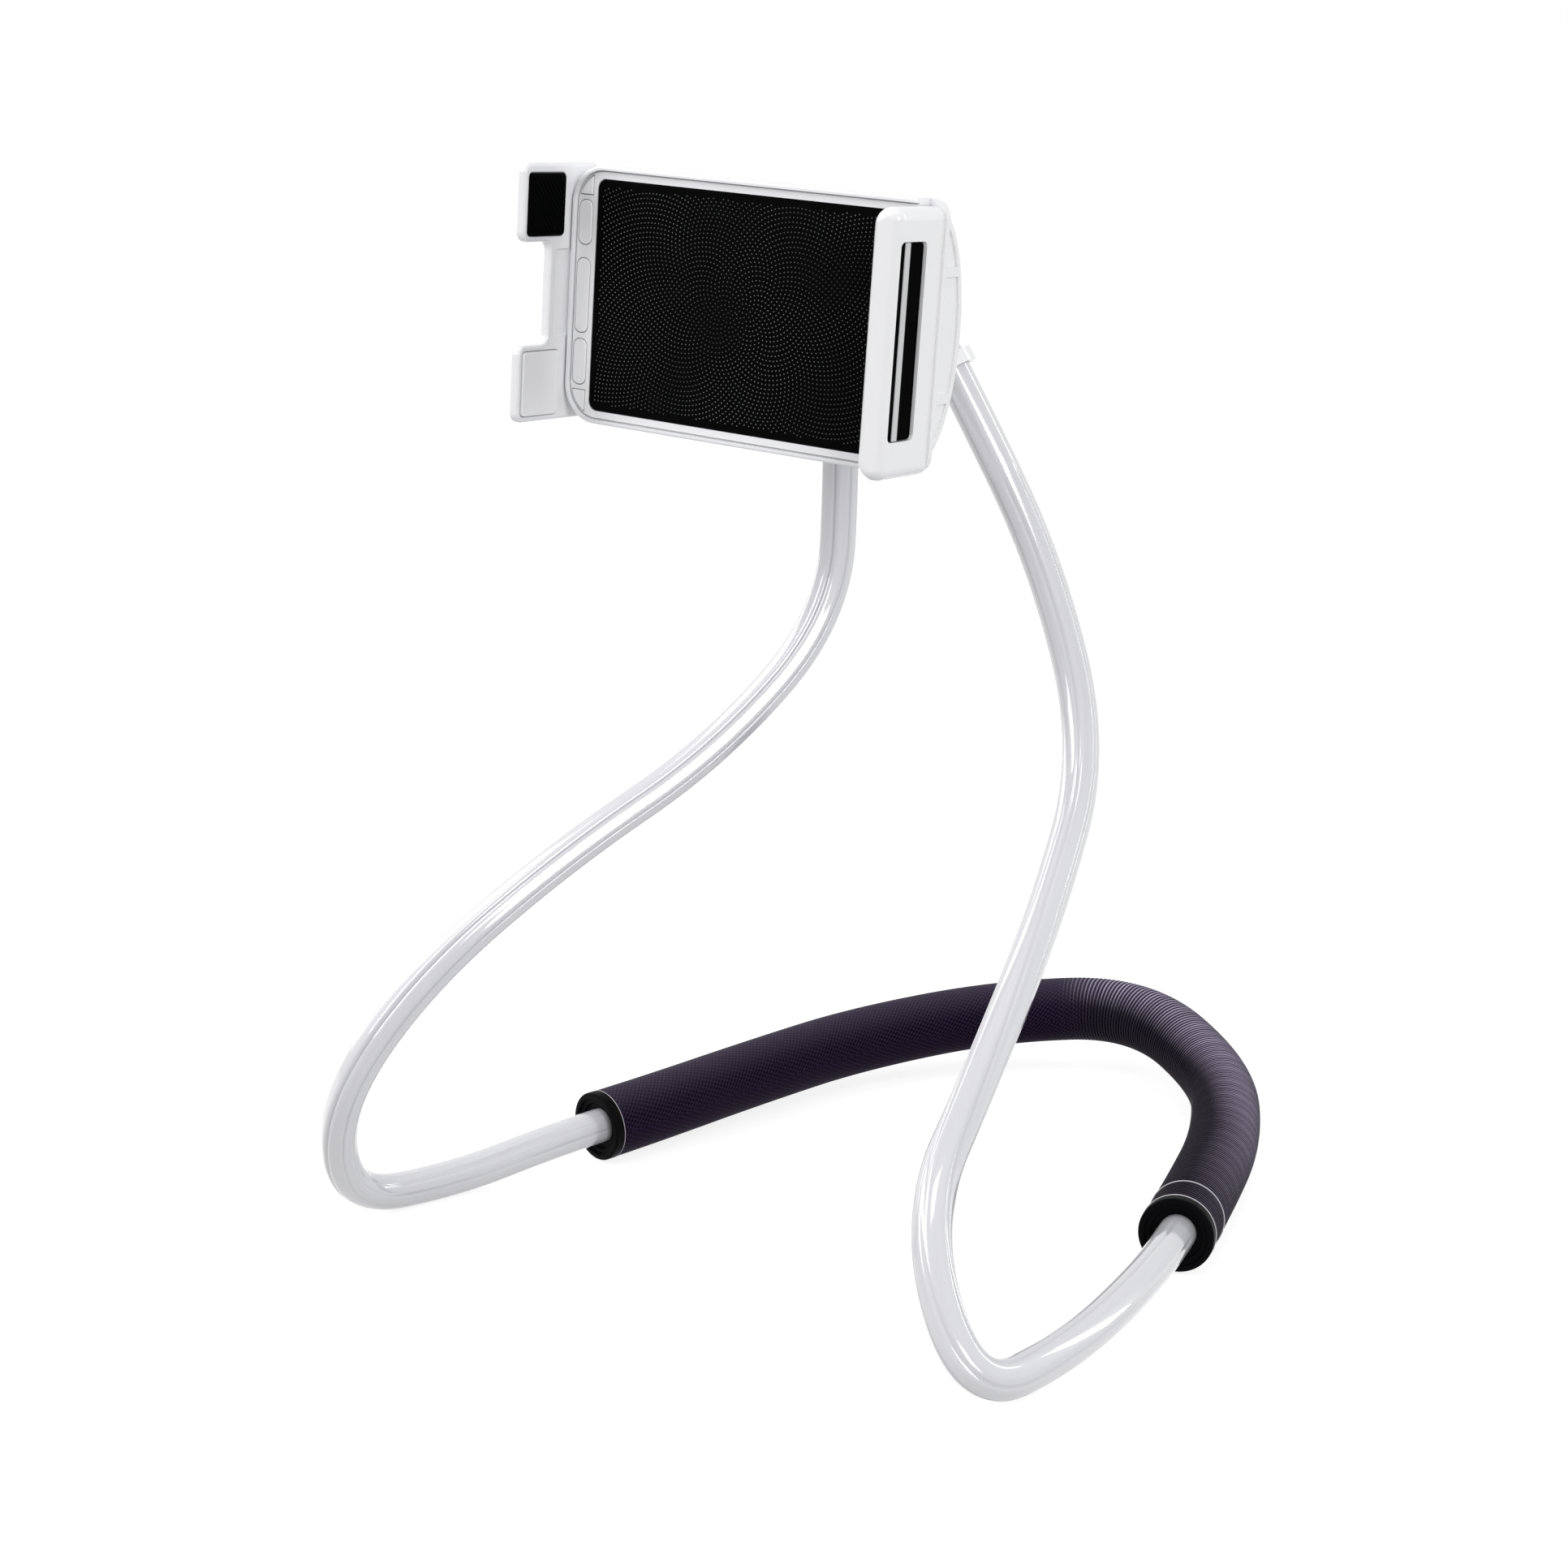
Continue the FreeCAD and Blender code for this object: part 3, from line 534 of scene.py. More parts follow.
def new_piece(
    name: str, vertices: Array, faces: list[Face], finish: Finish, body: Body
) -> bpy.types.Object:
    """Makes one piece from a mesh and sets it on its body.

    Args:
        name: Name of the piece.
        vertices: Corner points in the row frame, in metres.
        faces: Corner numbers of each face.
        finish: Finish of the piece.
        body: Body that it rides on.

    Returns:
        The new object.
    """
    mesh = bpy.data.meshes.new(name)
    mesh.from_pydata([tuple(point) for point in vertices], [], faces)
    mesh.materials.append(finish.material())
    mesh.shade_smooth()
    piece = bpy.data.objects.new(name, mesh)
    bpy.context.scene.collection.objects.link(piece)
    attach(piece, body.value)
    LOG.info("piece %s: %d faces on %s", name, len(faces), body.value)
    return piece


def dress_node(node: str, finish: Finish, edge: float = 0.0) -> None:
    """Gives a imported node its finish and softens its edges.

    Args:
        node: Name of the node.
        finish: Its finish.
        edge: Width of the softened edges in metres, or 0 for none.
    """
    piece = frame["nodes"][node]
    material = finish.material()
    if not piece.material_slots:
        piece.data.materials.append(material)
    for slot in piece.material_slots:
        slot.material = material
    if edge > 0.0:
        weld = piece.modifiers.new("weld", "WELD")
        weld.merge_threshold = WELD_GAP
        flat = piece.modifiers.new("flat_faces", "DECIMATE")
        flat.decimate_type = "DISSOLVE"
        flat.angle_limit = FLAT_ANGLE
        soft = piece.modifiers.new("soft_edges", "BEVEL")
        soft.width = edge
        soft.segments = EDGE_SEGMENTS
        soft.limit_method = "ANGLE"
        soft.angle_limit = EDGE_ANGLE
        soft.harden_normals = True
        even = piece.modifiers.new("even_normals", "WEIGHTED_NORMAL")
        even.keep_sharp = True
    LOG.info("node %s: %s", node, finish.name)


def run_along(line: Array) -> Array:
    """Gives the distance of each point of a line from its start."""
    steps = np.linalg.norm(np.diff(line, axis=0), axis=1)
    return np.concatenate([[0.0], np.cumsum(steps)])


def points_at(line: Array, places: Array) -> Array:
    """Finds points of a line by their distances along it."""
    along = run_along(line)
    return np.stack([np.interp(places, along, line[:, axis]) for axis in range(3)], axis=1)


def ring_faces(rings: int, sides: int, start: int = 0, closed: bool = False) -> list[Face]:
    """Lists the faces between rings of corners.

    Args:
        rings: Number of rings.
        sides: Number of corners in a ring.
        start: Number of the first corner.
        closed: Whether the last ring joins the first.

    Returns:
        Corner numbers of each face.
    """
    made: list[Face] = []
    for ring in range(rings if closed else rings - 1):
        here, there = start + ring * sides, start + (ring + 1) % rings * sides
        for side in range(sides):
            after = (side + 1) % sides
            made.append((here + side, here + after, there + after, there + side))
    return made


class Sweep:
    """A round form swept along a line, with its own coordinates."""

    UV_NAME = "sleeve_uv"
    STREAK_SPACE = "streak_space"
    STRETCH = "stretch"
    # Mesh value for the painted highlight on the sleeve.
    PAINTED_HIGHLIGHT = "fade"
    # Mesh value for the painted shade in the tube's creases and fold.
    PAINTED_CREASE_SHADE = "crease"
    RIBBED = "ribbed"
    STREAK_STRETCH = 9.0
    UPRIGHT = 0.1
    QUAD = 4

    def __init__(self, line: Array, angles: Array) -> None:
        """Works out the sections along the line.

        Args:
            line: Points of the middle line.
            angles: Angle of each corner of a section.
        """
        self.line = line
        self.angles = angles
        ways = np.gradient(line, axis=0)
        self.ways = ways / np.linalg.norm(ways, axis=1)[:, None]
        self.along = run_along(line)
        self.share = self.along / self.along[-1]
        self.sides_a, self.sides_b = self._transport()

    def _transport(self) -> tuple[Array, Array]:
        """Carries one cross direction along the line without twist.

        Returns:
            Two cross directions at each point.
        """
        first = np.zeros_like(self.line)
        start = np.cross(self.ways[0], [0.0, 0.0, 1.0])
        if np.linalg.norm(start) < self.UPRIGHT:
            start = np.cross(self.ways[0], [1.0, 0.0, 0.0])
        first[0] = start / np.linalg.norm(start)
        for index in range(1, len(self.line)):
            carried = first[index - 1] - self.ways[index] * (first[index - 1] @ self.ways[index])
            first[index] = carried / np.linalg.norm(carried)
        return first, np.cross(self.ways, first)

    @staticmethod
    def round(sides: int) -> Array:
        """Gives the angle of each corner of a section with evenly spaced corners."""
        return np.linspace(0.0, FULL_TURN, sides, endpoint=False)

    def outward(self, turn: Array | float = 0.0) -> Array:
        """Gives the way out of the form at each section corner.

        Args:
            turn: Turn of the whole section at each point of the line.

        Returns:
            One direction for each point of the line and each section corner.
        """
        angles = self.angles[None, :] + np.reshape(turn, (-1, 1))
        across = np.cos(angles)[:, :, None] * self.sides_a[:, None, :]
        return across + np.sin(angles)[:, :, None] * self.sides_b[:, None, :]

    def points(self, radii: Array, turn: Array | float = 0.0) -> Array:
        """Places the corners, each at its radius, one section after another."""
        return (self.line[:, None, :] + self.outward(turn) * radii[:, :, None]).reshape(-1, 3)

    def faces(self) -> list[Face]:
        """Lists the faces between the sections and the one at each end.

        Returns:
            Corner numbers of each face.
        """
        sides, count = len(self.angles), len(self.line)
        first = tuple(range(sides - 1, -1, -1))
        last = tuple((count - 1) * sides + side for side in range(sides))
        return [*ring_faces(count, sides), first, last]

    def mark(self, piece: bpy.types.Object, radius: float) -> None:
        """Writes the form's own coordinates to a piece made from it.

        Args:
            piece: The piece, with this form's corners first.
            radius: Radius that the distance around is measured at.
        """
        mesh = piece.data
        sides = len(self.angles)
        row = np.repeat(np.arange(len(self.line)), sides)
        angle = np.tile(self.angles, len(self.line))
        space = np.stack([self.along[row] * self.STREAK_STRETCH, np.cos(angle), np.sin(angle)], axis=1)
        streak = mesh.attributes.new(self.STREAK_SPACE, "FLOAT_VECTOR", "POINT")
        streak.data.foreach_set("vector", space.astype(np.float32).ravel())
        layer = mesh.uv_layers.new(name=self.UV_NAME)
        corners = np.zeros(len(mesh.loops), np.int32)
        mesh.loops.foreach_get("vertex_index", corners)
        flat = np.stack([self.along[row[corners]], angle[corners] * radius], axis=1)
        girth = FULL_TURN * radius
        quads = flat[:len(flat) // self.QUAD * self.QUAD, 1].reshape(-1, self.QUAD)
        split = np.ptp(quads, axis=1, keepdims=True) > girth / 2.0
        quads[split & (quads < girth / 2.0)] += girth
        layer.data.foreach_set("uv", flat.astype(np.float32).ravel())

    @staticmethod
    def note(piece: bpy.types.Object, name: str, values: Array) -> None:
        """Writes one value for each corner to a piece made from the form."""
        layer = piece.data.attributes.new(name, "FLOAT", "POINT")
        layer.data.foreach_set("value", values.astype(np.float32).ravel())


@dataclass
class Placement:
    """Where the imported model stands, from its own record."""

    head_roll: float = 4.5
    route_hub: Vector = field(default_factory=lambda: Vector((-17.0, 8.0, 194.6)) * MM)

    def hub(self) -> Vector:
        """Gives the middle of the grip pad's front, on the swivel axis."""
        rests = [mount for mount in frame["record"]["mounts"] if mount["name"] == "phone_rest"]
        return Vector(rests[0]["pos_m"])

    def shift(self) -> Vector:
        """Gives the move from the route's own frame to the row frame."""
        return self.hub() - self.route_hub

    def head(self) -> Matrix:
        """Gives the head's own frame: X to its right, Y to its back, Z up."""
        return Matrix.Translation(self.hub()) @ Matrix.Rotation(math.radians(self.head_roll), 4, "Y")

    def head_points(self, points: Array) -> Array:
        """Moves points of the head's frame, in millimetres, to the row frame in metres."""
        matrix = np.array(self.head())
        return points * MM @ matrix[:3, :3].T + matrix[:3, 3]


PLACE = Placement()


@dataclass
class LoopTube:
    """The bendable tube from the hub round the neck and back."""

    radius: float = 4.0 * MM
    sides: int = 96
    spacing: float = 0.75 * MM
    hidden_spacing: float = 5.0 * MM
    hidden_margin: float = 12.0 * MM
    curve_detail: int = 90
    lobes: int = 8
    lobe_depth: float = 0.42 * MM
    lobe_bias: float = 0.45
    lobe_turns: tuple[Span, ...] = (
        (0.0, 0.36), (0.4, 0.36), (0.64, 2.2), (0.71, 2.2), (0.85, 0.7), (1.0, 0.5),
    )
    lobe_shares: tuple[Span, ...] = (
        (0.0, 1.0), (0.235, 1.0), (0.265, 0.3), (0.62, 0.3), (0.66, 0.6), (1.0, 0.6),
    )
    bias_detail: int = 721
    groove_edge: float = 4.0
    crown: float = 0.45
    crease_edge: float = 6.0
    fold_way: Point = (0.95, -0.3, 0.04)
    fold_span: Span = (0.255, 0.4)
    fold_width: float = 0.15
    fold_edge: float = 1.5
    fold_depth: float = 0.3 * MM
    plain_ends: Span = (22.0 * MM, 34.0 * MM)
    lobe_start: float = 7.0 * MM
    cap_edge: float = 0.12 * MM
    route: tuple[Point, ...] = (
        (-17, 45, 194.6), (-17, 45, 161), (-17.5, 43, 128.5), (-31, 17.5, 101), (-48, -14, 82),
        (-64, -42, 59), (-79, -54, 31), (-87.5, -41, 4.5), (-79, -15, 3.5), (-70, 7, 7.5),
        (-63, 36, 8.5), (-58, 68, 9), (-50, 103, 10), (-28, 135, 13), (6, 148, 17), (38, 130, 9),
        (56, 95, 8), (67.5, 57, 8), (78, 18, 8.5), (79.6, -19, 5), (73.4, -47.5, 3.5), (55, -36, 31),
        (50.5, -5, 51), (46, 27, 75), (39.5, 56.5, 103), (23, 65, 140), (5, 61, 175), (-5, 58.5, 193),
    )

    def corners(self) -> Array:
        """Gives the route's points in the row frame, in metres."""
        return np.array(self.route, float) * MM + np.array(PLACE.shift())

    def centreline(self) -> Array:
        """Reads a smooth line from a NURBS spline with the route's points as its control points.

        Returns:
            Points along the line, close together.
        """
        curve = bpy.data.curves.new("loop_route", "CURVE")
        curve.dimensions = "3D"
        corners = self.corners()
        spline = curve.splines.new("NURBS")
        spline.points.add(len(corners) - 1)
        for point, corner in zip(spline.points, corners):
            point.co = (*corner, 1.0)
        spline.order_u = 3
        spline.use_endpoint_u = True
        spline.resolution_u = self.curve_detail
        carrier = bpy.data.objects.new("loop_route", curve)
        bpy.context.scene.collection.objects.link(carrier)
        seen = carrier.evaluated_get(bpy.context.evaluated_depsgraph_get())
        mesh = bpy.data.meshes.new_from_object(seen)
        line = np.array([vertex.co for vertex in mesh.vertices], float)
        bpy.data.objects.remove(carrier)
        bpy.data.curves.remove(curve)
        bpy.data.meshes.remove(mesh)
        return line

    def sleeve_ends(self, line: Array) -> list[int]:
        """Finds the points of a line that lie at the sleeve's two ends.

        Args:
            line: Points along the tube.

        Returns:
            The number of the point at each end.
        """
        corners = self.corners()
        ends = []
        for run in (NeckSleeve.first_run, NeckSleeve.last_run):
            middle = (corners[run] + corners[run + 1]) / 2.0
            ends.append(int(np.argmin(np.linalg.norm(line - middle, axis=1))))
        return ends

    def stations(self) -> Array:
        """Spaces points along the tube, close together where it shows and far apart inside the sleeve.

        Returns:
            Points along the line.
        """
        line = self.centreline()
        along = run_along(line)
        enter, leave = (along[end] for end in self.sleeve_ends(line))
        stops = (0.0, enter + self.hidden_margin, leave - self.hidden_margin, along[-1])
        places = [np.zeros(1)]
        for start, end, spacing in zip(stops, stops[1:], (self.spacing, self.hidden_spacing, self.spacing)):
            places.append(np.linspace(start, end, round((end - start) / spacing) + 1)[1:])
        return points_at(line, np.concatenate(places))

    def build(self) -> None:
        """Makes the tube with the shallow lobes of its section, wide on one side and narrow on the other."""
        fine = np.linspace(0.0, FULL_TURN, self.bias_detail)
        crowded = fine - self.lobe_bias * np.sin(fine)
        steps = Sweep.round(self.sides)
        form = Sweep(self.stations(), np.interp(steps, crowded, fine))
        turn = np.interp(form.share, *np.array(self.lobe_turns).T)
        crowding = 1.0 - self.lobe_bias * np.cos(form.angles)
        wave = np.abs(np.cos(self.lobes * steps / 2.0))
        sink = (1.0 - wave) ** self.groove_edge + self.crown * wave ** 2
        depth = self._depth(form)[:, None]
        fold = self._fold(form, turn)
        radii = self.radius - depth * (sink / crowding)[None, :] - self.fold_depth * fold
        points = form.points(radii, turn)
        piece = new_piece("loop_tube", points, form.faces(), TUBE_PLASTIC, Body.LOOP)
        form.mark(piece, self.radius)
        # Painted shade: the creases between lobes and the fold are darkened in the tube's colour.
        crease = (1.0 - wave) ** self.crease_edge
        crease_shade_share = (depth / self.lobe_depth) ** 2 * crease[None, :]
        form.note(piece, Sweep.PAINTED_CREASE_SHADE, np.maximum(crease_shade_share, fold))
        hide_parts("bend_tube")

    def _fold(self, form: Sweep, turn: Array) -> Array:
        """Gives the one sharp fold along the tube between its left bend and the sleeve.

        Args:
            form: The tube's form.
            turn: Turn of the section at each point of the line.

        Returns:
            A share from 0 to 1 for each point of the line and each section corner.
        """
        way = np.array(self.fold_way) / np.linalg.norm(self.fold_way)
        aside = np.arccos(np.clip(form.outward(turn) @ way, -1.0, 1.0))
        inside = (form.share > self.fold_span[0]) & (form.share < self.fold_span[1])
        near = np.clip(1.0 - aside / self.fold_width, 0.0, 1.0)
        return near ** self.fold_edge * inside[:, None]

    def _depth(self, form: Sweep) -> Array:
        """Gives the lobes' depth, which fades where the tube enters the hub, the ring and the sleeve.

        Args:
            form: The tube's form.

        Returns:
            Depth at each point of the line.
        """
        depth = self.lobe_depth * np.interp(form.share, *np.array(self.lobe_shares).T)
        room = np.minimum(form.along - self.plain_ends[0], form.along[-1] - self.plain_ends[1] - form.along)
        for end in self.sleeve_ends(form.line):
            room = np.minimum(room, np.abs(form.along - form.along[end]))
        return depth * np.clip(room / self.lobe_start, 0.0, 1.0) ** 2

    def dress(self) -> None:
        """Finishes the tube's end cap."""
        dress_node("tube_tip_cap", CAP_PLASTIC, self.cap_edge)


@dataclass
class NeckSleeve:
    """Covered foam round the back of the loop, with piping near its ends."""

    tube: LoopTube
    radius: float = 8.0 * MM
    sides: int = 64
    first_run: int = 9
    last_run: int = 17
    plain_spacing: float = 0.7 * MM
    rib_pitch: float = 1.0 * MM
    rib_steps: int = 8
    rib_depth: float = 0.36 * MM
    rib_start: float = 0.47
    rib_rise: float = 14.0 * MM
    rib_shift: float = 0.35
    rib_beats: Span = (2.4, 0.37)
    rib_round: float = 0.7
    sag: float = 0.12 * MM
    sag_length: float = 17.0 * MM
    piping_places: tuple[float, ...] = (0.3 * MM, -0.3 * MM, -9.0 * MM)
    piping_radii: tuple[float, ...] = (0.07 * MM, 0.13 * MM, 0.13 * MM)
    piping_sink: float = 0.05 * MM
    piping_sides: int = 10
    ring_edge: float = 0.15 * MM
    # Painted highlight on the cover: the ways its band faces, where they turn, where it weakens, and how
    # wide, plain and sharp it is.
    highlight_ways: tuple[Point, Point] = ((0.0, -0.12, 0.99), (0.78, -0.12, 0.6))
    highlight_turn: Span = (0.6, 0.84)
    highlight_end: Span = (0.78, 0.98)
    highlight_loss: float = 0.8
    highlight_from: float = 0.36
    highlight_plain: float = 0.05
    highlight_edge: float = 1.7
    # Sharpness of the crest mask that drives the coat and the painted highlight, and the painted highlight
    # that every crest gets.
    glint_edge: float = 5.0
    glint_floor: float = 0.045

    def line(self) -> Array:
        """Gives the part of the tube's line that the sleeve covers, finely divided where it has ribs.

        Returns:
            Points along the line.
        """
        line = self.tube.centreline()
        first, last = self.tube.sleeve_ends(line)
        line = line[first:last + 1]
        length = run_along(line)[-1]
        ribs = int((1.0 - self.rib_start) * length / self.rib_pitch)
        rib_from = length - ribs * self.rib_pitch
        plain = np.linspace(0.0, rib_from, int(rib_from / self.plain_spacing), endpoint=False)
        ribbed = np.linspace(rib_from, length, ribs * self.rib_steps + 1)
        return points_at(line, np.concatenate([plain, ribbed]))

    def build(self) -> None:
        """Makes the cover and its piping."""
        form = Sweep(self.line(), Sweep.round(self.sides))
        from_end = form.along[-1] - form.along
        room = (1.0 - self.rib_start) * form.along[-1] - from_end
        ribs = np.clip(room / self.rib_rise, 0.0, 1.0)
        number = np.floor(from_end / self.rib_pitch)
        fast, slow = (np.abs(np.sin(number * beat)) for beat in self.rib_beats)
        uneven = 1.0 - self.rib_shift * fast * slow
        crest = np.abs(np.sin(math.pi * from_end / self.rib_pitch))
        soft = np.sin(form.along / self.sag_length)[:, None] * np.cos(2.0 * form.angles)[None, :]
        sink = ribs * self.rib_depth * uneven * (1.0 - crest ** self.rib_round)
        radii = self.radius - sink[:, None] - self.sag * (1.0 - soft) / 2.0
        piece = new_piece(
            "sleeve_cover", form.points(radii), form.faces(), SLEEVE_CLOTH, Body.LOOP
        )
        form.mark(piece, self.radius)
        glint = np.repeat((ribs * uneven * crest ** self.glint_edge)[:, None], self.sides, axis=1)
        form.note(piece, Sweep.STRETCH, glint)
        # Painted highlight: lighter colour on the rib crests, strongest in the band that faces the highlight
        # ways.
        painted_highlight = np.maximum(glint, self.highlight_plain) * self._painted_highlight(form)
        form.note(piece, Sweep.PAINTED_HIGHLIGHT, np.maximum(painted_highlight, glint * self.glint_floor))
        form.note(piece, Sweep.RIBBED, np.repeat(ribs[:, None], self.sides, axis=1))
        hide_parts("neck_pad")
        self._piping(form)

    def _painted_highlight(self, form: Sweep) -> Array:
        """Finds the share of painted highlight on the cover, a band that moves from its top to its outer
        side along the bend and weakens near the end.

        Args:
            form: The sleeve's form.

        Returns:
            A share from 0 to 1 for each point of the line and each section corner.
        """
        turned = self._ramp(form.share, self.highlight_turn)
        ways = (1.0 - turned) * np.array(self.highlight_ways[0]) + turned * np.array(self.highlight_ways[1])
        ways /= np.linalg.norm(ways, axis=1)[:, None]
        facing = np.einsum("ijk,ik->ij", form.outward(), ways)
        worn = np.clip((facing - self.highlight_from) / (1.0 - self.highlight_from), 0.0, 1.0) ** self.highlight_edge
        return worn * (1.0 - self.highlight_loss * self._ramp(form.share, self.highlight_end))

    @staticmethod
    def _ramp(share: Array, span: Span) -> Array:
        """Rises from 0 to 1 between two places along the sleeve, as a column."""
        return np.clip((share - span[0]) / (span[1] - span[0]), 0.0, 1.0)[:, None]

    def _piping(self, form: Sweep) -> None:
        """Makes the thin rings near the sleeve's ends.

        Args:
            form: The sleeve's form.
        """
        points: list[Array] = []
        faces: list[Face] = []
        small = Sweep.round(self.piping_sides)
        count = len(form.angles)
        for number, (place, thick) in enumerate(zip(self.piping_places, self.piping_radii)):
            wanted = place if place > 0.0 else form.along[-1] + place
            index = int(np.argmin(np.abs(form.along - wanted)))
            reach = self.radius - self.piping_sink + thick * np.cos(small)
            rise = form.outward()[index][:, None, :] * reach[None, :, None]
            slide = form.ways[index] * (thick * np.sin(small))[None, :, None]
            points.append((form.line[index] + rise + slide).reshape(-1, 3))
            faces += ring_faces(count, len(small), number * count * len(small), closed=True)
        new_piece("sleeve_piping", np.concatenate(points), faces, PIPING_RUBBER, Body.LOOP)

    def dress(self) -> None:
        """Finishes the rings that close the sleeve's ends."""
        for node in ("pad_end_ring_left", "pad_end_ring_right"):
            dress_node(node, END_RUBBER, self.ring_edge)


@dataclass
class ClampHead:
    """Frame, pad, fixed jaw and shell, which turn together."""

    edge: float = 0.22 * MM
    pad_x: Span = (-38.1, 36.1)
    pad_half: float = 23.9
    dot_border: float = 1.4
    dot_pitch: float = 0.93
    dot_radius: float = 0.16
    dot_top: float = 0.62
    dot_sink: float = 0.02
    dot_rise: float = 0.07
    dot_sides: int = 6

    def _centres(self) -> Array:
        """Spreads the dots over the pad in the curved rows of a sunflower head.

        Returns:
            X and Z of each dot in the head's frame, in millimetres.
        """
        golden = math.pi * (3.0 - math.sqrt(5.0))
        half_x = (self.pad_x[1] - self.pad_x[0]) / 2.0 - self.dot_border
        half_z = self.pad_half - self.dot_border
        reach = math.hypot(half_x, half_z)
        numbers = np.arange(int(math.pi * (reach / self.dot_pitch) ** 2))
        distance = self.dot_pitch * np.sqrt(numbers / math.pi)
        x = distance * np.cos(numbers * golden)
        z = distance * np.sin(numbers * golden)
        inside = (np.abs(x) < half_x) & (np.abs(z) < half_z)
        return np.stack([x[inside] + sum(self.pad_x) / 2.0, z[inside]], axis=1)

    def build(self) -> None:
        """Makes the raised dots of the grip pad."""
        points: list[Point] = []
        faces: list[Face] = []
        sides = self.dot_sides
        rings = ((self.dot_radius, -self.dot_sink), (self.dot_radius * self.dot_top, self.dot_rise))
        for x, z in self._centres():
            start = len(points)
            for radius, rise in rings:
                for angle in Sweep.round(sides):
                    points.append((x + radius * math.cos(angle), -rise, z + radius * math.sin(angle)))
            faces += [face[::-1] for face in ring_faces(len(rings), sides, start)]
            faces.append(tuple(start + sides + side for side in range(sides - 1, -1, -1)))
        moved = PLACE.head_points(np.array(points))
        new_piece("grip_dots", moved, faces, DOT_RUBBER, Body.HEAD)

    def dress(self) -> None:
        """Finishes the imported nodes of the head."""
        for node in ("face_frame", "fixed_jaw", "back_shell", "ring_nut"):
            dress_node(node, WHITE_PLASTIC, self.edge)
        dress_node("grip_pad", PAD_RUBBER, self.edge)
        dress_node("edge_studs", GREY_STUD, self.edge)
        dress_node("fixed_jaw_pad", WINDOW_GLOSS, self.edge)
        dress_node("window_strip", STRIP_GREY, self.edge / 2)
        for node in ("shell_screws", "return_spring_upper", "return_spring_lower"):
            dress_node(node, STEEL)
        dress_node("swivel_bush", BUSH_PLASTIC)


@dataclass
class SlidingJaw:
    """The jaw with two claws that slides out of the head."""

    edge: float = 0.3 * MM
    pad_face_x: float = -44.4
    pad_y: Span = (-14.3, -2.8)
    pad_z: Span = (11.9, 24.6)
    rib_pitch: float = 0.95
    rib_width: float = 0.5
    rib_top: float = 0.45
    rib_sink: float = 0.05
    rib_rise: float = 0.22
    rib_margin: float = 0.5
    rib_slope: float = 1.25

    def build(self) -> None:
        """Makes the slanted ribs on the upper claw's lining."""
        y_low, y_high = (self.pad_y[0] + self.rib_margin, self.pad_y[1] - self.rib_margin)
        z_low, z_high = (self.pad_z[0] + self.rib_margin, self.pad_z[1] - self.rib_margin)
        points: list[Point] = []
        faces: list[Face] = []
        drop = self.rib_slope * (y_high - y_low)
        start_z = z_low
        while start_z < z_high + drop:
            y_from = max(y_low, y_low + (start_z - z_high) / self.rib_slope)
            y_to = min(y_high, y_low + (start_z - z_low) / self.rib_slope)
            if y_to - y_from > self.rib_width:
                self._rib(points, faces, (y_from, y_to), start_z - self.rib_slope * (y_from - y_low))
            start_z += self.rib_pitch * math.hypot(1.0, self.rib_slope)
        moved = PLACE.head_points(np.array(points))
        new_piece("upper_claw_ribs", moved, faces, PAD_RUBBER, Body.JAW)

    def _rib(self, points: list[Point], faces: list[Face], y_span: Span, z_from: float) -> None:
        """Adds one rib with sloped flanks.

        Args:
            points: Corner list to add to.
            faces: Face list to add to.
            y_span: Start and end of the rib, front to back.
            z_from: Height of the rib's start.
        """
        z_to = z_from - self.rib_slope * (y_span[1] - y_span[0])
        length = math.hypot(1.0, self.rib_slope)
        side_y, side_z = self.rib_slope / length, 1.0 / length
        start = len(points)
        levels = ((-self.rib_sink, self.rib_width), (self.rib_rise, self.rib_width * self.rib_top))
        for rise, width in levels:
            for y, z in ((y_span[0], z_from), (y_span[1], z_to)):
                for side in (-0.5, 0.5):
                    y_at = y + side * width * side_y
                    points.append((self.pad_face_x + rise, y_at, z + side * width * side_z))
        for quad in ((4, 5, 7, 6), (0, 4, 6, 2), (1, 3, 7, 5), (0, 1, 5, 4), (2, 6, 7, 3), (0, 2, 3, 1)):
            faces.append(tuple(start + corner for corner in quad))

    def dress(self) -> None:
        """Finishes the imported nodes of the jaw."""
        dress_node("sliding_jaw", WHITE_PLASTIC, self.edge)
        dress_node("upper_claw_pad", PAD_RUBBER, self.edge / 2)
        # The lower claw's inset gets the painted-light copy of the white plastic.
        dress_node("lower_claw_pad", LIT_INSET_PLASTIC, self.edge / 2)


@dataclass
class SwivelHub:
    """The hub on the tube's upper end."""

    edge: float = 0.25 * MM

    def dress(self) -> None:
        """Finishes the hub and its fasteners."""
        dress_node("hub_yoke", WHITE_PLASTIC, self.edge)
        for node in ("socket_set_screw", "hub_washer", "hub_screw"):
            dress_node(node, STEEL)


def aim(item: bpy.types.Object, target: Vector, azimuth: float, elevation: float, distance: float) -> None:
    """Adds a lamp or camera to the scene and points it at a target.

    Args:
        item: The lamp or camera.
        target: Point that it is aimed at.
        azimuth: Turn round the target in degrees, 0 in front of it.
        elevation: Height above the horizon in degrees.
        distance: Distance from the target.
    """
    turn, rise = math.radians(azimuth), math.radians(elevation)
    back = Vector((math.sin(turn) * math.cos(rise), -math.cos(turn) * math.cos(rise), math.sin(rise)))
    item.location = target + back * distance
    item.rotation_euler = (-back).to_track_quat("-Z", "Y").to_euler()
    bpy.context.scene.collection.objects.link(item)


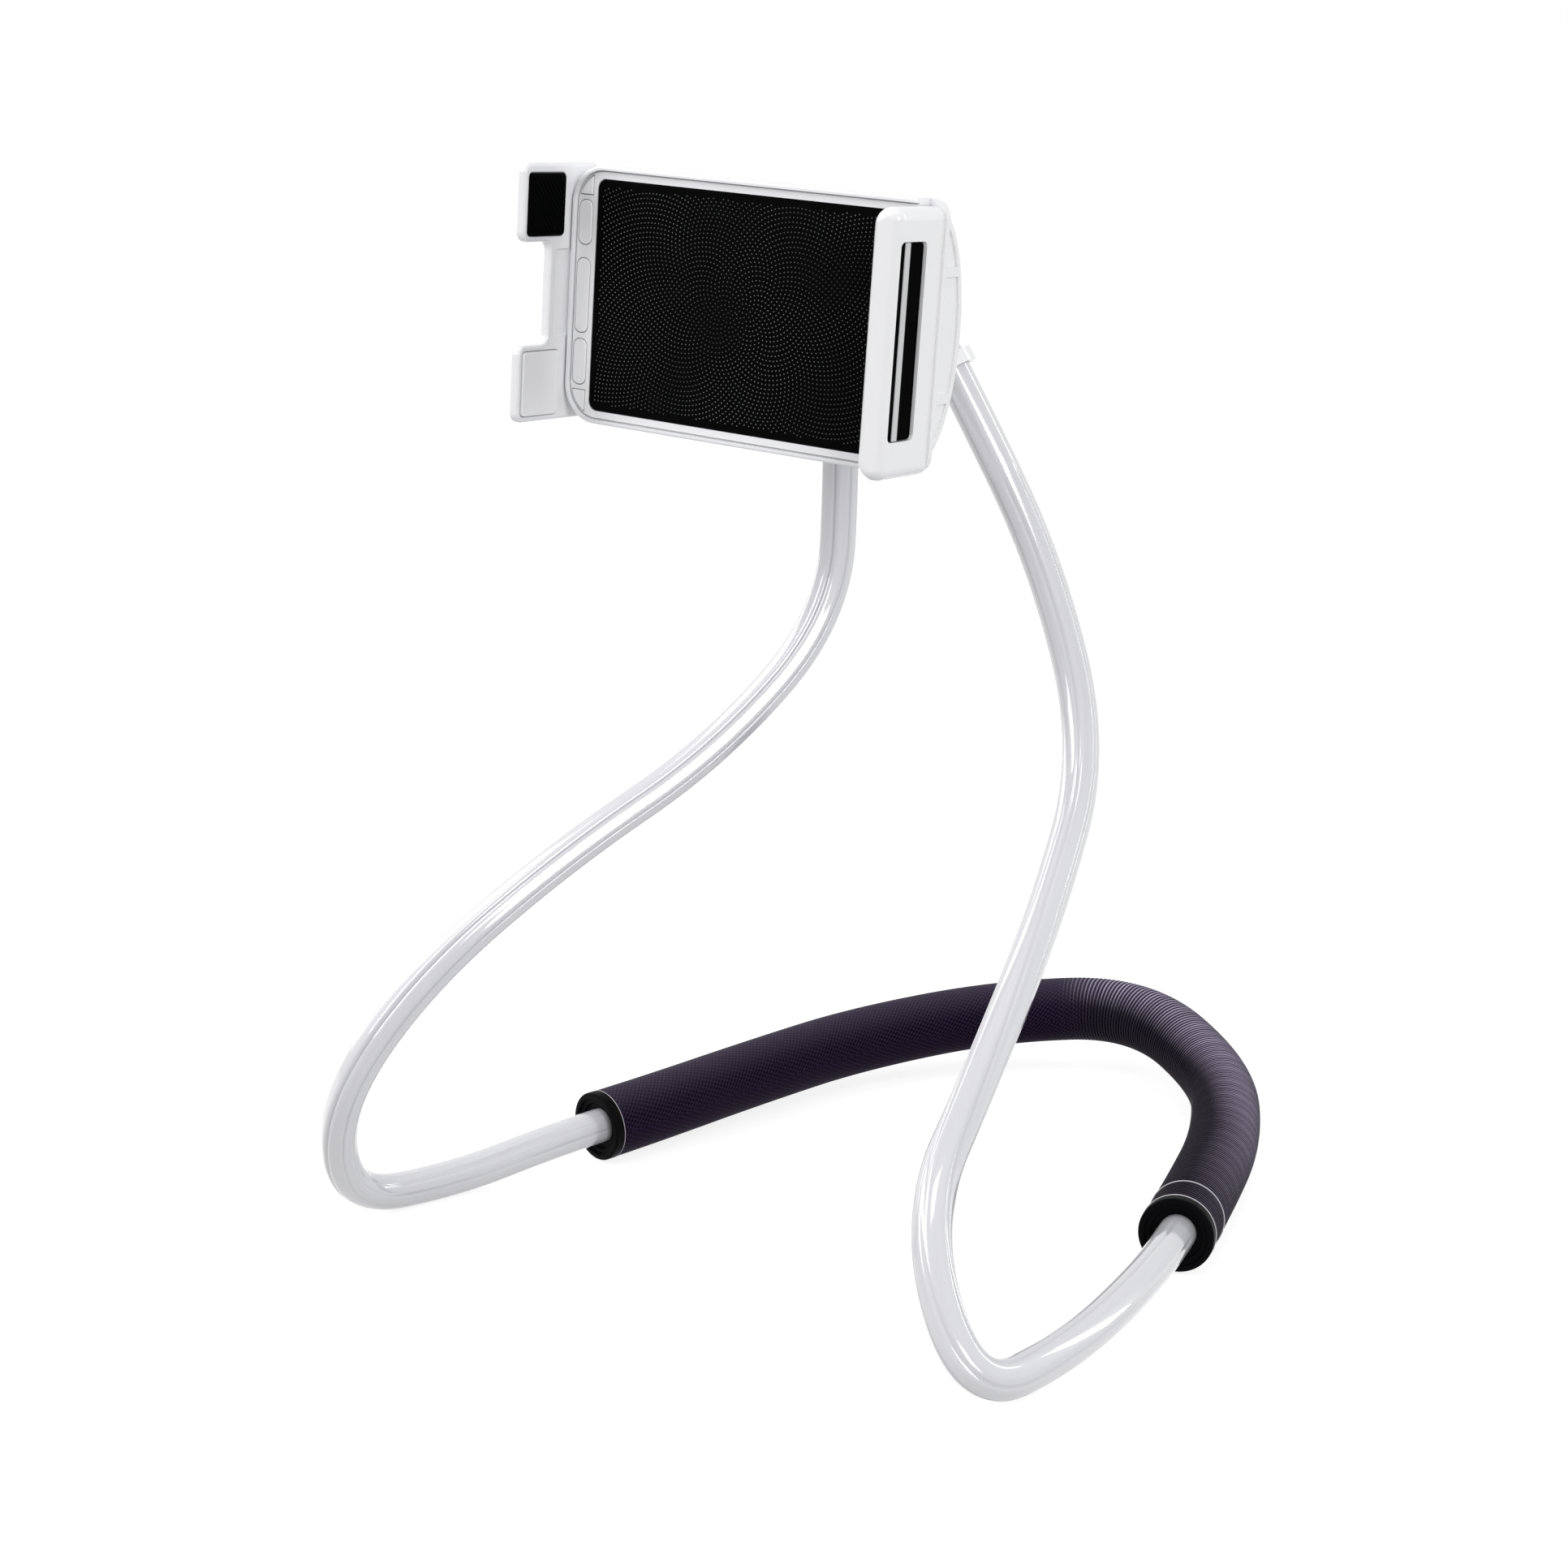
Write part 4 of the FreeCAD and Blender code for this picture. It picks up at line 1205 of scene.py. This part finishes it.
@dataclass
class Lamp:
    """One soft lamp, aimed at the middle of the object."""

    name: str
    azimuth: float
    elevation: float
    distance: float
    width: float
    height: float
    level: float
    color: Color = WHITE

    def build(self, target: Vector) -> None:
        """Hangs the lamp.

        Args:
            target: Point that it is aimed at.
        """
        data = bpy.data.lights.new(self.name, "AREA")
        data.shape = "RECTANGLE"
        data.size = self.width
        data.size_y = self.height
        data.color = self.color
        data.energy = self.level * (math.pi * self.distance) ** 2
        lamp = bpy.data.objects.new(self.name, data)
        aim(lamp, target, self.azimuth, self.elevation, self.distance)


@dataclass
class Studio:
    """White floor and backdrop, soft lamps and the camera."""

    sensor: float = 36.0
    clip: Span = (0.01, 50.0)
    lens: float = 63.354
    azimuth: float = 34.856
    elevation: float = 12.679
    distance: float = 562.559 * MM
    route_target: Vector = field(default_factory=lambda: Vector((-0.353, -0.580, 101.135)) * MM)
    floor_half: float = 6.0
    floor_color: Color = (0.42, 0.42, 0.42)
    floor_glow: float = 0.79
    ambient: float = 0.54
    lamps: tuple[Lamp, ...] = (
        Lamp("key_lamp", -50.0, 38.0, 1.1, 0.5, 0.9, 0.47),
        Lamp("top_lamp", 50.0, 68.0, 1.0, 0.2, 0.2, 0.07),
        Lamp("fill_lamp", 60.0, 18.0, 1.2, 0.5, 0.5, 0.38),
        Lamp("rim_lamp", -95.0, 24.0, 1.1, 0.3, 0.9, 0.14),
        Lamp("edge_lamp", 138.0, 20.0, 1.1, 0.12, 0.7, 0.12, (0.97, 1.0, 0.94)),
    )

    def build(self) -> None:
        """Sets up floor, world, lamps and camera."""
        target = self.route_target + PLACE.shift()
        self._floor()
        self._world()
        for lamp in self.lamps:
            lamp.build(target)
        self._camera(target)
        bpy.context.scene.view_settings.view_transform = "Standard"

    @staticmethod
    def _seen(bench: Bench) -> Socket:
        """Masks the rays that show the background, straight or in gloss or glass.

        Args:
            bench: Bench of the tree.

        Returns:
            The mask's socket.
        """
        ray = bench.add("ShaderNodeLightPath")
        seen = bench.math("MAXIMUM", ray.outputs["Is Camera Ray"], ray.outputs["Is Glossy Ray"])
        return bench.math("MAXIMUM", seen, ray.outputs["Is Transmission Ray"])

    def _floor(self) -> None:
        """Lays the floor, which glows for the camera and still takes shadows."""
        half = self.floor_half
        mesh = bpy.data.meshes.new("studio_floor")
        corners = [(-half, -half, 0), (half, -half, 0), (half, half, 0), (-half, half, 0)]
        mesh.from_pydata(corners, [], [(0, 1, 2, 3)])
        floor = bpy.data.objects.new("studio_floor", mesh)
        bpy.context.scene.collection.objects.link(floor)
        material = bpy.data.materials.new("studio_floor_white")
        material.use_nodes = True
        bench = Bench(material.node_tree)
        matt = bench.add("ShaderNodeBsdfDiffuse", {"Color": rgba(self.floor_color)})
        strength = bench.math("MULTIPLY", self._seen(bench), self.floor_glow)
        glow = bench.add("ShaderNodeEmission", {"Strength": strength})
        total = bench.add("ShaderNodeAddShader", {0: matt.outputs[0], 1: glow.outputs[0]})
        bench.add("ShaderNodeOutputMaterial", {"Surface": total.outputs[0]})
        mesh.materials.append(material)

    def _world(self) -> None:
        """Fills the surroundings with plain light, white where they show."""
        world = bpy.data.worlds.new("studio_world")
        world.use_nodes = True
        bpy.context.scene.world = world
        bench = Bench(world.node_tree)
        plain = bench.add("ShaderNodeBackground", {"Color": rgba(WHITE), "Strength": self.ambient})
        white = bench.add("ShaderNodeBackground", {"Color": rgba(WHITE), "Strength": 1.0})
        sides = {0: self._seen(bench), 1: plain.outputs[0], 2: white.outputs[0]}
        both = bench.add("ShaderNodeMixShader", sides)
        bench.add("ShaderNodeOutputWorld", {"Surface": both.outputs[0]})

    def _camera(self, target: Vector) -> None:
        """Places the camera.

        Args:
            target: Point in the middle of the picture.
        """
        data = bpy.data.cameras.new("photo_camera")
        data.sensor_width = self.sensor
        data.lens = self.lens
        data.clip_start, data.clip_end = self.clip
        camera = bpy.data.objects.new("photo_camera", data)
        aim(camera, target, self.azimuth, self.elevation, self.distance)
        bpy.context.scene.camera = camera


def write_sizes() -> None:
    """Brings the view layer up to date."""
    bpy.context.view_layer.update()


def main() -> None:
    """Builds and dresses each sub-assembly in order."""
    logging.basicConfig(level=logging.INFO, format="%(name)s: %(message)s")
    tube = LoopTube()
    sleeve = NeckSleeve(tube)
    head = ClampHead()
    jaw = SlidingJaw()
    hub = SwivelHub()
    for assembly in (tube, sleeve, head, jaw):
        assembly.build()
    for assembly in (tube, sleeve, head, jaw, hub):
        assembly.dress()
    Studio().build()
    write_sizes()


if __name__ == "__main__":
    main()
